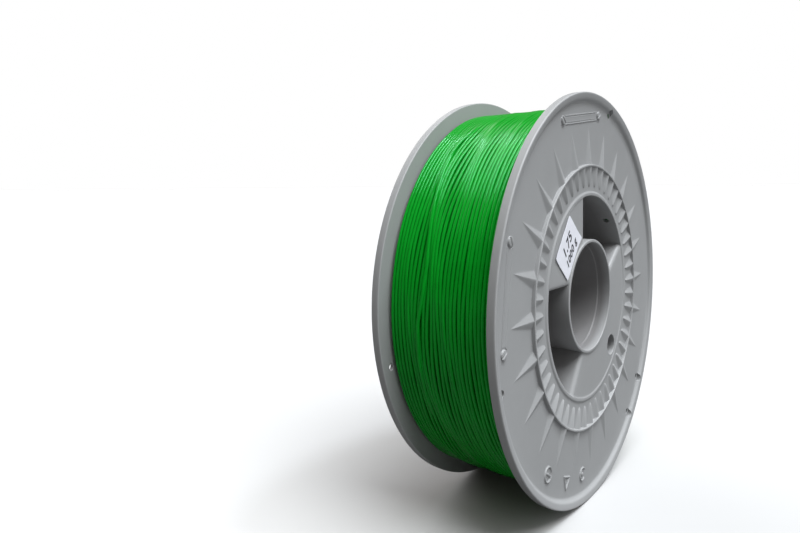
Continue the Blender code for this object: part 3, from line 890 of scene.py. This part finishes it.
def shared_group(name):
    """Find a shared node group, or make it on first use."""
    if name in bpy.data.node_groups:
        return bpy.data.node_groups[name]
    inputs, outputs, fill = GROUPS[name]
    group = bpy.data.node_groups.new(name, "ShaderNodeTree")
    sockets = group.interface
    for label, kind, value in inputs:
        made = sockets.new_socket(label, in_out="INPUT", socket_type=f"NodeSocket{kind}")
        if value is not None:
            made.default_value = value
    for label, kind in outputs:
        sockets.new_socket(label, in_out="OUTPUT", socket_type=f"NodeSocket{kind}")
    entry = group.nodes.new("NodeGroupInput")
    leave = group.nodes.new("NodeGroupOutput")
    set_inputs(group, leave, fill(group, entry.outputs))
    return group


def place_group(tree, name, inputs):
    """Place a shared group in a material with its own inputs."""
    return add_node(tree, "ShaderNodeGroup", inputs, node_tree=shared_group(name))


def finished_material(name, colour, grain, patches, bump, shader_values, highlight_gain=None):
    """Material of one finish: patchy colour, with fine grain in its roughness and its bump.

    With a gain for the highlights, the mesh's own marks paint highlights on outer edges and paint
    shade in deep places.
    """
    if name in bpy.data.materials:
        return bpy.data.materials[name]
    material = bpy.data.materials.new(name)
    material.use_nodes = True
    material.diffuse_color = (*colour, 1.0)
    tree = material.node_tree
    place = add_node(tree, "ShaderNodeTexCoord").outputs["Object"]
    scale, amount = patches
    inputs = {"Vector": place, "Colour": (*colour, 1.0), "Scale": scale, "Amount": amount}
    base = place_group(tree, "patchy_colour", inputs).outputs["Colour"]
    if highlight_gain:
        # Painted highlights on outer edges, then painted shade in deep places
        for group, mark, own in (
            ("light_edges", "edge", {"Gain": highlight_gain}),
            ("recess_shade", "recess", {"Tint": PAINTED_SHADE_TINT}),
        ):
            mask = add_node(tree, "ShaderNodeAttribute", attribute_name=mark).outputs["Fac"]
            inputs = {"Colour": base, "Mask": mask, **own}
            base = place_group(tree, group, inputs).outputs["Colour"]
    scale, roughness, spread = grain
    inputs = {"Vector": place, "Scale": scale, "Roughness": roughness, "Spread": spread}
    grained = place_group(tree, "fine_grain", inputs).outputs
    strength, distance = bump
    inputs = {"Height": grained["Height"], "Strength": strength, "Distance": distance}
    raised = add_node(tree, "ShaderNodeBump", inputs)
    set_inputs(tree, tree.nodes["Principled BSDF"], {
        "Base Color": base,
        "Roughness": grained["Roughness"],
        "Normal": raised.outputs["Normal"],
        **shader_values,
    })
    return material


def moulded_plastic():
    """Satin grey moulded plastic with faint patches, painted highlights on its edges and painted
    shade in its recesses.
    """
    return finished_material(
        "moulded_plastic_grey",
        bpy.context.scene.spool_colours.plastic,
        grain=(2600.0, 0.46, 0.16),
        patches=(26.0, 0.045),
        bump=(0.10, 0.0001),
        shader_values={"Specular IOR Level": 0.42},
        highlight_gain=0.16,
    )


def green_filament():
    """Glossy green strand with greenish highlights."""
    return finished_material(
        "green_filament",
        bpy.context.scene.spool_colours.filament,
        grain=(1500.0, 0.17, 0.08),
        patches=(90.0, 0.10),
        bump=(0.06, 0.0001),
        shader_values={"Specular IOR Level": 0.38, "Specular Tint": (0.30, 1.0, 0.62, 1.0)},
    )


def label_paper():
    """Matt white label paper with a fine grain."""
    return finished_material(
        "white_label_paper",
        bpy.context.scene.spool_colours.paper,
        grain=(4000.0, 0.62, 0.10),
        patches=(300.0, 0.025),
        bump=(0.12, 0.00005),
        shader_values={"Specular IOR Level": 0.35},
    )


def label_ink():
    """Dark print of slightly uneven density."""
    return finished_material(
        "label_ink",
        bpy.context.scene.spool_colours.ink,
        grain=(4000.0, 0.5, 0.10),
        patches=(900.0, 0.30),
        bump=(0.05, 0.00005),
        shader_values={"Specular IOR Level": 0.4},
    )


def show_strand(mesh, replaced=None):
    """Show a piece of the strand, which stays with the labelled half."""
    show(mesh, "label_half", green_filament(), replaced)


def mix_for_camera(tree, others, seen, output):
    """Show one shader to the camera and another to all other rays."""
    ray = add_node(tree, "ShaderNodeLightPath").outputs["Is Camera Ray"]
    mix = add_node(tree, "ShaderNodeMixShader", {0: ray, 1: others, 2: seen})
    tree.links.new(mix.outputs["Shader"], tree.nodes[output].inputs["Surface"])


class SPOOL_OT_stage(bpy.types.Operator):
    """Build the studio: floor, lights, surrounding light and camera"""

    bl_idname = "spool.stage"
    bl_label = "Stage"

    def execute(self, context):
        """Build the floor, the lights, the sky and the camera."""
        studio = context.scene.spool_studio
        context.scene.view_settings.view_transform = "Standard"
        self.build_floor(context)
        self.soft_light("key_light", studio.key, 42.0, (-0.07, -0.33, 0.94), (0.97, 1.0, 1.02))
        self.soft_light("glint_light", studio.glint, 7.0, (0.30, -0.33, 0.89), (0.94, 1.0, 1.08))
        self.soft_light("front_light", studio.front, 60.0, (0.12, -0.95, 0.20), (0.95, 1.0, 1.04))
        self.soft_light("back_light", studio.back, 60.0, (0.25, 0.80, 0.55), (1.0, 1.0, 1.0))
        self.build_sky(context, studio.sky)
        self.build_camera(context, studio)
        return {"FINISHED"}

    def build_floor(self, context):
        """A wide disc just under the spool: radii spread as squares, height level.

        Its material is pale to the eye and throws less light back at the spool.
        """
        spread = np.linspace(0, 1, 12) ** 2 * 60.0
        profile = np.stack((spread, np.full_like(spread, CAD_BOX[0].z)), axis=-1)
        points = lathe_points(profile[::-1], 64)
        mesh = make_mesh("studio_floor", points, grid_quads(len(profile), 64, False, True))
        mesh = close_mesh(mesh)
        material = bpy.data.materials.new("studio_floor_pale")
        material.use_nodes = True
        tree = material.node_tree
        tree.nodes.remove(tree.nodes["Principled BSDF"])
        colour = np.array(context.scene.spool_colours.floor)
        seen = add_node(tree, "ShaderNodeBsdfDiffuse", {"Color": (*colour, 1.0)})
        bounced = add_node(tree, "ShaderNodeBsdfDiffuse", {"Color": (*colour * 0.3, 1.0)})
        mix_for_camera(tree, bounced.outputs["BSDF"], seen.outputs["BSDF"], "Material Output")
        mesh.materials.append(material)
        floor = bpy.data.objects.new("studio_floor", mesh)
        context.scene.collection.objects.link(floor)

    def soft_light(self, name, strength, spread, source, colour):
        """A wide, even light that comes from a direction, with soft shadows."""
        data = bpy.data.lights.new(name, "SUN")
        data.energy = strength
        data.angle = radians(spread)
        data.color = colour
        light = bpy.data.objects.new(name, data)
        light.rotation_euler = Vector(source).to_track_quat("Z", "Y").to_euler()
        bpy.context.scene.collection.objects.link(light)

    def build_sky(self, context, strength):
        """Light from all round, brighter overhead, with a plain white background."""
        world = bpy.data.worlds.new("studio_sky")
        world.use_nodes = True
        context.scene.world = world
        tree = world.node_tree
        direction = add_node(tree, "ShaderNodeTexCoord").outputs["Generated"]
        split = add_node(tree, "ShaderNodeSeparateXYZ", {"Vector": direction})
        climb = add_node(tree, "ShaderNodeMapRange", {
            "Value": split.outputs["Z"], "From Min": -0.2, "From Max": 1.0,
            "To Min": 0.6 * strength, "To Max": 2.0 * strength,
        })
        glow = tree.nodes["Background"]
        warm = (1.0, 0.92, 0.86, 1.0)
        set_inputs(tree, glow, {"Color": warm, "Strength": climb.outputs["Result"]})
        white = {"Color": (1.0, 1.0, 1.0, 1.0), "Strength": 1.0}
        plain = add_node(tree, "ShaderNodeBackground", white).outputs["Background"]
        mix_for_camera(tree, glow.outputs["Background"], plain, "World Output")

    def build_camera(self, context, studio):
        """The camera, turned by its azimuth, elevation and roll."""
        data = bpy.data.cameras.new("studio_camera")
        data.lens = studio.lens
        data.shift_x, data.shift_y = CAMERA_SHIFT
        data.clip_start = 0.01
        camera = bpy.data.objects.new("studio_camera", data)
        turn = Matrix.Rotation(studio.azimuth, 4, "Z")
        tilt = Matrix.Rotation(pi / 2 - studio.elevation, 4, "X")
        roll = Matrix.Rotation(studio.roll, 4, "Z")
        camera.matrix_world = Matrix.Translation(studio.place) @ turn @ tilt @ roll
        context.scene.collection.objects.link(camera)
        context.scene.camera = camera


class SPOOL_OT_flanges(bpy.types.Operator):
    """Build both flanges with their rims, toothed rings and drum walls"""

    bl_idname = "spool.flanges"
    bl_label = "Flanges"

    def execute(self, context):
        """Build one flange, cut its holes and show it on both halves."""
        points, mark = flange_surface()
        faces = grid_quads(points.shape[0], points.shape[1], True, True)
        mesh = make_mesh("flange", points, faces, {"edge": mark})
        mesh.shade_smooth()
        middle = (TOP + INNER_FACE) / 2
        cutters = []
        for name, circle, height, radius, length, sides in (
            ("rim_hole", RIM_HOLE_CIRCLE, middle, RIM_HOLE_RADIUS, 0.008, 24),
            ("rim_pocket", RIM_POCKET_CIRCLE, TOP + 0.0013, RIM_POCKET_RADIUS, 0.0074, 32),
        ):
            for i, angle in enumerate(RIM_HOLE_ANGLES):
                centre = (*polar(circle, angle), height)
                cutters.append(
                    rod_cutter(f"{name}_{i}", centre, (0, 0, 1), radius, length, sides)
                )
        for name, angle, height, radius in (
            ("drum_hole", DRUM_HOLE_ANGLE, DRUM_HOLE_HEIGHT, DRUM_HOLE_RADIUS),
            ("seam_notch", SYMMETRY_ANGLE, 0.0, SEAM_NOTCH_RADIUS),
        ):
            centre = (*polar((DRUM_RADIUS + DRUM_INNER_RADIUS) / 2, angle), height)
            axis = (*polar(1.0, angle), 0.0)
            cutters.append(rod_cutter(name, centre, axis, radius, 0.005))
        show_on_halves(cut(mesh, cutters), "flange", replaces_half=True)
        return {"FINISHED"}


class SPOOL_OT_bores(bpy.types.Operator):
    """Build both bore tubes with the step inside their mouths"""

    bl_idname = "spool.bores"
    bl_label = "Bore Tubes"

    def execute(self, context):
        """Build one tube and show it on both halves."""
        mouth = BORE_RADIUS + BORE_STEP
        step = BORE_EDGE - BORE_STEP_DEPTH
        corners = [
            (mouth, BORE_EDGE, 0.0004),
            (BORE_OUTER_RADIUS, BORE_EDGE, 0.0004),
            # Rows where the painted shade on the tube's outer wall starts and where it is full
            (BORE_OUTER_RADIUS, PAINTED_SHADE_TOP, 0.0),
            (BORE_OUTER_RADIUS, PAINTED_SHADE_TOP - PAINTED_SHADE_DEPTH, 0.0),
            (BORE_OUTER_RADIUS, BASE, 0.0003),
            (BORE_RADIUS, BASE, 0.0003),
            (BORE_RADIUS, step - BORE_STEP, 0.0002),
            (mouth, step, 0.0002),
            # Rows where the painted shade in the bore is full and where it starts
            (mouth, PAINTED_SHADE_TOP - BORE_PAINTED_SHADE_DEPTH, 0.0),
            (mouth, PAINTED_SHADE_TOP, 0.0),
        ]
        show_on_halves(lathe_mesh("bore_tube", corners, 192), "bore_tube")
        return {"FINISHED"}


class SPOOL_OT_hubs(bpy.types.Operator):
    """Build the hub plates, their spoke walls and the collar of the drive hole"""

    bl_idname = "spool.hubs"
    bl_label = "Hub Plates"

    def execute(self, context):
        """Build the narrow plate, the wide plate with its hole, and the collar."""
        show_on_halves(hub_plate_mesh("narrow"), "hub_plate_narrow")
        centre = polar(DRIVE_HOLE_CIRCLE, DRIVE_HOLE_ANGLE)
        place = (*centre, PLATE)
        hole = rod_cutter("drive_hole", place, (0, 0, 1), DRIVE_HOLE_CUT_RADIUS, 0.012, 48)
        show_on_halves(cut(hub_plate_mesh("wide"), [hole]), "hub_plate_wide")
        outer = DRIVE_HOLE_RADIUS + DRIVE_COLLAR_WALL
        low = PLATE - DRIVE_COLLAR_LENGTH
        corners = [
            (DRIVE_HOLE_RADIUS, PLATE + 0.00003, 0.0003),
            (outer - 0.0005, PLATE + 0.00003, 0.0001),
            (outer, PLATE - 0.0006, 0.0001),
            (outer, low, 0.0003),
            (DRIVE_HOLE_RADIUS, low, 0.0003),
        ]
        show_on_halves(lathe_mesh("drive_collar", corners, 64, [centre]), "drive_collar")
        return {"FINISHED"}


class SPOOL_OT_posts(bpy.types.Operator):
    """Build the pegs and sockets that join the halves"""

    bl_idname = "spool.posts"
    bl_label = "Pegs and Sockets"

    def execute(self, context):
        """Build three posts with pegs and three with sockets and show them on both halves."""
        under = PLATE - PLATE_THICKNESS + 0.0005
        post = [(0.0, under, 0.0), (POST_RADIUS, under, 0.0), (POST_RADIUS, BASE, 0.0004)]
        peg = [
            (PEG_RADIUS, BASE, 0.0003),
            (PEG_RADIUS - 0.0003, -PEG_LENGTH, 0.0008),
            (0.0, -PEG_LENGTH, 0.0),
        ]
        socket = [
            (SOCKET_RADIUS, BASE, 0.0004),
            (SOCKET_RADIUS, SOCKET_DEPTH, 0.0003),
            (0.0, SOCKET_DEPTH, 0.0),
        ]
        for name, tip, offsets in (
            ("peg_posts", peg, PEG_OFFSETS), ("socket_posts", socket, -PEG_OFFSETS)
        ):
            centres = polar(POST_CIRCLE, SYMMETRY_ANGLE + offsets)
            show_on_halves(lathe_mesh(name, post + tip, 32, centres), name)
        return {"FINISHED"}


class SPOOL_OT_inserts(bpy.types.Operator):
    """Build the rim inserts with their screws, and the moulded marks"""

    bl_idname = "spool.inserts"
    bl_label = "Rim Inserts and Marks"

    def execute(self, context):
        """Build two inserts and three marks and show them on both halves."""
        sizes = context.scene.spool_sizes
        length = sizes.insert_length + INSERT_MARGINS[0]
        width = sizes.insert_width + INSERT_MARGINS[1]
        for i, angle in enumerate(INSERT_ANGLES):
            name = f"rim_insert_{i}"
            mesh = relief_patch(
                name, INSERT_CIRCLE, angle, length, width, INSERT_SPACING, insert_height
            )
            show_on_halves(mesh, name)
        for kind, circle, angle in MARKS:
            mesh = relief_patch(
                f"mark_{kind}", circle, radians(angle), MARK_SIZE, MARK_SIZE, MARK_SPACING,
                mark_height(kind),
            )
            show_on_halves(mesh, f"mark_{kind}")
        return {"FINISHED"}


class SPOOL_OT_winding(bpy.types.Operator):
    """Wind the strand: the core, the layer under the top and the top layer"""

    bl_idname = "spool.winding"
    bl_label = "Winding"

    def execute(self, context):
        """Build the core of the pack and its two outer layers."""
        sizes = context.scene.spool_sizes
        centre = WINDING_RADIUS - sizes.strand / 2
        pitch = 2 * STRAND_LANES / sizes.turns
        leave = (TAIL_LANE + STRAND_LANES) / pitch
        drawn = sizes.strand * DRAWN_SHARE / 2
        top, outward = wound_path(0.0, leave, 144, pitch, -STRAND_LANES, centre)
        show_strand(tube_mesh("winding_top", top, outward, drawn, 10), "filament_winding")
        rest, outward = wound_path(leave, sizes.turns, 144, pitch, -STRAND_LANES, centre)
        fade = np.clip(1 - np.arange(len(rest)) / 14, 0, 1)[:, None] ** 2
        rest = rest - outward * 0.0017 * fade
        show_strand(tube_mesh("winding_top_end", rest, outward, drawn, 10))
        lane = -STRAND_LANES + pitch / 2
        under, outward = wound_path(
            0.0, sizes.turns - 0.5, 96, pitch, lane, centre - LAYER_PITCH
        )
        show_strand(tube_mesh("winding_under", under, outward, sizes.strand / 2, 8))
        show_strand(self.core_mesh())
        self.crossings(centre)
        return {"FINISHED"}

    def half_circles(self, rows):
        """Heights of a row of half circles, one to each whole number."""
        return np.sqrt(np.clip(1 - (2 * (rows % 1) - 1) ** 2, 0, 1))

    def core_mesh(self):
        """The wound pack: a closed ring whose sides and bore show the rows of strand.

        Each side is a row of half circles a layer pitch apart, the bore a row of half circles
        a strand apart, and both breathe a little round the spool.
        """
        strand = bpy.context.scene.spool_sizes.strand
        outer = WINDING_RADIUS - strand / 2 - LAYER_PITCH - 0.0003
        layers = round((outer - WINDING_INNER_RADIUS) / LAYER_PITCH)
        rows = np.linspace(0, layers, layers * 5 + 1)
        radius = outer - (outer - WINDING_INNER_RADIUS) * rows / layers
        side = np.stack((radius, STRAND_LANES + 0.0008 * self.half_circles(rows) - 0.00015), axis=-1)
        turns = round(2 * STRAND_LANES / strand)
        lanes = np.linspace(0, turns, turns * 5 + 1)[1:-1]
        bore_radius = WINDING_INNER_RADIUS + 0.0007 * (1 - self.half_circles(lanes))
        bore = np.stack((bore_radius, STRAND_LANES - 2 * STRAND_LANES * lanes / turns), axis=-1)
        profile = np.concatenate((side, bore, side[::-1] * (1, -1)))
        angle = np.linspace(0, 2 * pi, 144, endpoint=False)[None]
        breathe = 0.00012 * np.sin(5 * angle + profile[:, :1] * 900)
        breathe = breathe * np.sign(profile[:, 1:]) * (np.abs(profile[:, 1:]) > 0.0245)
        path, _ = strand_line(
            np.broadcast_to(profile[:, :1], (len(profile), 144)),
            np.broadcast_to(angle, (len(profile), 144)),
            profile[:, 1:] + breathe,
        )
        mesh = make_mesh("winding_core", path, grid_quads(len(profile), 144, True, True))
        return close_mesh(mesh, 60.0)

    def crossings(self, centre):
        """Stretches that cross over their neighbours and dip back between them."""
        strand = bpy.context.scene.spool_sizes.strand
        for i, (start, end, lane, shift) in enumerate(CROSSINGS):
            share = np.linspace(0, 1, 60)
            angle = np.radians(start + (end - start) * share)
            lanes = lane + shift * smooth_step(share)
            hump = np.sin(pi * share) ** 0.5
            radius = centre - 0.0012 + 0.0022 * hump
            path, outward = strand_line(radius, angle, lanes + drift(angle, lanes))
            show_strand(tube_mesh(f"crossing_{i}", path, outward, strand / 2, 10))


class SPOOL_OT_ends(bpy.types.Operator):
    """Lay the strand's two ends: through the seam notch and out through a rim hole"""

    bl_idname = "spool.ends"
    bl_label = "Strand Ends"

    def execute(self, context):
        """Build the outer end and the hidden inner end."""
        self.outer_end()
        self.inner_end()
        return {"FINISHED"}

    def outer_end(self):
        """The outer end rises from the top layer, turns and leaves through the far flange.

        Along the winding its radius goes from the layer's to the hole's by a smooth step,
        then a quarter circle turns it parallel to the axis.
        """
        sizes = bpy.context.scene.spool_sizes
        sweep = TAIL_BEND / TAIL_RADIUS
        share = np.linspace(0, 1, 30)
        angle = TAIL_ANGLE + sweep + TAIL_SWEEP * (1 - share)
        start = WINDING_RADIUS - sizes.strand / 2
        ease = smooth_step(share)
        radius = start + (TAIL_RADIUS - start) * np.clip(ease * 1.4, 0, 1)
        lane = TAIL_LANE + drift(angle, np.full_like(angle, TAIL_LANE)) * (1 - ease)
        first, outward = strand_line(radius, angle, lane)
        turn = np.linspace(0, pi / 2, 9)[1:]
        bend_angle = TAIL_ANGLE + sweep * (1 - np.sin(turn))
        depth = TAIL_LANE + TAIL_BEND * (1 - np.cos(turn))
        bend, bend_out = strand_line(TAIL_RADIUS, bend_angle, depth)
        last = bend[-1:] * (1, 0, 1) + np.array((0.0, TAIL_END - sizes.strand / 2, 0.0))
        path = np.concatenate((first, bend, last))
        outward = np.concatenate((outward, bend_out, bend_out[-1:]))
        mesh = tube_mesh("strand_outer_end", path, outward, sizes.strand / 2, 12)
        show_strand(mesh, "filament_end")

    def inner_end(self):
        """The inner end goes in through the notch and turns along the drum's wall."""
        sizes = bpy.context.scene.spool_sizes
        radial = np.array((np.cos(SYMMETRY_ANGLE), 0.0, np.sin(SYMMETRY_ANGLE)))
        around = np.array((np.sin(SYMMETRY_ANGLE), 0.0, -np.cos(SYMMETRY_ANGLE)))
        to_label = np.array((0.0, -1.0, 0.0))
        corner = DRUM_INNER_RADIUS - START_BEND
        turn = np.linspace(0, pi / 2, 9)[:, None]
        bend = radial * (corner + START_BEND * (1 - np.sin(turn)))
        bend = bend + to_label * START_BEND * (1 - np.cos(turn))
        path = np.concatenate(
            (radial[None] * (DRUM_RADIUS + 0.0002), bend, bend[-1:] + to_label * START_LENGTH)
        )
        up = np.tile(around, (len(path), 1))
        mesh = tube_mesh("strand_inner_end", path, up, sizes.strand / 2, 12)
        show_strand(mesh, "filament_start")


class SPOOL_OT_label(bpy.types.Operator):
    """Stick on the label and print it"""

    bl_idname = "spool.label"
    bl_label = "Label"

    def execute(self, context):
        """Build the paper and its two lines of print."""
        sizes = context.scene.spool_sizes
        show(self.paper_mesh(sizes), "label_half", label_paper(), "material_label")
        for i, (words, size, place) in enumerate(PRINT_LINES):
            mesh = self.print_mesh(f"label_print_{i}", words, size, place)
            show(mesh, "label_half", label_ink())
        return {"FINISHED"}

    def to_plate(self, points):
        """Turn label points, x along its print and z up, to their place on the hub plate."""
        turn = np.array(
            ((np.cos(LABEL_TURN), -np.sin(LABEL_TURN)), (np.sin(LABEL_TURN), np.cos(LABEL_TURN)))
        )
        placed = np.array(points, float)
        placed[..., 0] += LABEL_SHIFT
        placed[..., :2] = placed[..., :2] @ turn.T + polar(LABEL_CIRCLE, LABEL_ANGLE)
        return placed @ LABEL_SIDE.T

    def curl(self, x, y):
        """Lift of the paper: it puckers slightly and rises towards two opposite corners."""
        sizes = bpy.context.scene.spool_sizes
        corner = np.clip((x / sizes.label_length - y / sizes.label_width) - 0.55, 0, 1)
        other = np.clip((y / sizes.label_width - x / sizes.label_length) - 0.62, 0, 1)
        pucker = 0.00003 * np.sin(x * 700 + 1.0) * np.sin(y * 500)
        return 0.0022 * corner**2 + 0.0016 * other**2 + pucker

    def paper_mesh(self, sizes):
        """The paper: a rounded rectangle scaled in rings from its middle, top and underside.

        The outline is a superellipse of power 40. Each ring lies at a share of it, and the
        height is the paper's lift.
        """
        turn = np.linspace(0, 2 * pi, 160, endpoint=False)[None]
        reach = (np.abs(np.cos(turn)) ** 40 + np.abs(np.sin(turn)) ** 40) ** (-1 / 40)
        share = np.concatenate((np.linspace(0, 0.96, 14), (0.99, 1.0, 1.0)))[:, None]
        x = share * reach * np.cos(turn) * sizes.label_length / 2
        y = share * reach * np.sin(turn) * sizes.label_width / 2
        lift = LABEL_HEIGHT + self.curl(x, y)
        lift[:-1] += PAPER_THICKNESS
        top = np.stack((x, y, lift), axis=-1)
        under = np.stack((x[:-1], y[:-1], LABEL_HEIGHT + self.curl(x, y)[:-1]), axis=-1)[::-1]
        points = np.concatenate((top, under[1:]))
        faces = grid_quads(len(points), 160, False, True)
        return close_mesh(make_mesh("label_sheet", self.to_plate(points), faces), 50.0)

    def print_mesh(self, name, words, size, place):
        """Plain figures, made a thin closed mesh and laid just above the paper."""
        curve = bpy.data.curves.new(name, "FONT")
        curve.body = words
        curve.size = size
        curve.shear = 0.25
        curve.offset = size * 0.028
        curve.space_character = 1.12
        curve.align_x = "CENTER"
        curve.align_y = "CENTER"
        curve.resolution_u = 4
        curve.extrude = PRINT_THICKNESS / 2
        writer = bpy.data.objects.new(name, curve)
        bpy.context.scene.collection.objects.link(writer)
        graph = bpy.context.evaluated_depsgraph_get()
        mesh = bpy.data.meshes.new_from_object(writer.evaluated_get(graph))
        bpy.data.objects.remove(writer)
        bpy.data.curves.remove(curve)
        solid = bmesh.new()
        solid.from_mesh(mesh)
        bmesh.ops.remove_doubles(solid, verts=solid.verts, dist=PRINT_WELD)
        solid.to_mesh(mesh)
        solid.free()
        flat = np.empty(len(mesh.vertices) * 3)
        mesh.vertices.foreach_get("co", flat)
        flat = flat.reshape(-1, 3) + (*place, LABEL_HEIGHT + PRINT_LIFT)
        flat[:, 2] += self.curl(flat[:, 0], flat[:, 1])
        mesh.vertices.foreach_set("co", self.to_plate(flat).ravel())
        mesh.update()
        mesh.name = name
        return mesh


class SPOOL_PT_panel(bpy.types.Panel):
    """List the spool's sizes, colours and building steps"""

    bl_idname = "SPOOL_PT_panel"
    bl_label = "Filament Spool"
    bl_space_type = "VIEW_3D"
    bl_region_type = "UI"
    bl_category = "Spool"

    def draw(self, context):
        """Draw the settings and one button for each operator."""
        for title, settings in (
            ("Sizes", context.scene.spool_sizes),
            ("Colours", context.scene.spool_colours),
            ("Studio", context.scene.spool_studio),
        ):
            box = self.layout.box()
            box.label(text=title)
            for name in settings.__annotations__:
                box.prop(settings, name)
        for operator in OPERATORS:
            self.layout.operator(operator.bl_idname)


OPERATORS = (
    SPOOL_OT_stage,
    SPOOL_OT_flanges,
    SPOOL_OT_bores,
    SPOOL_OT_hubs,
    SPOOL_OT_posts,
    SPOOL_OT_inserts,
    SPOOL_OT_winding,
    SPOOL_OT_ends,
    SPOOL_OT_label,
)
CLASSES = (SpoolSizes, SpoolColours, SpoolStudio, *OPERATORS, SPOOL_PT_panel)


def register():
    """Register the classes and hang the settings on the scene."""
    for item in CLASSES:
        bpy.utils.register_class(item)
    bpy.types.Scene.spool_sizes = bpy.props.PointerProperty(type=SpoolSizes)
    bpy.types.Scene.spool_colours = bpy.props.PointerProperty(type=SpoolColours)
    bpy.types.Scene.spool_studio = bpy.props.PointerProperty(type=SpoolStudio)


def unregister():
    """Take the settings off the scene and unregister the classes."""
    del bpy.types.Scene.spool_studio
    del bpy.types.Scene.spool_colours
    del bpy.types.Scene.spool_sizes
    for item in reversed(CLASSES):
        bpy.utils.unregister_class(item)


def main():
    """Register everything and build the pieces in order."""
    register()
    for operator in OPERATORS:
        getattr(bpy.ops.spool, operator.bl_idname.removeprefix("spool."))()


if __name__ == "__main__":
    main()
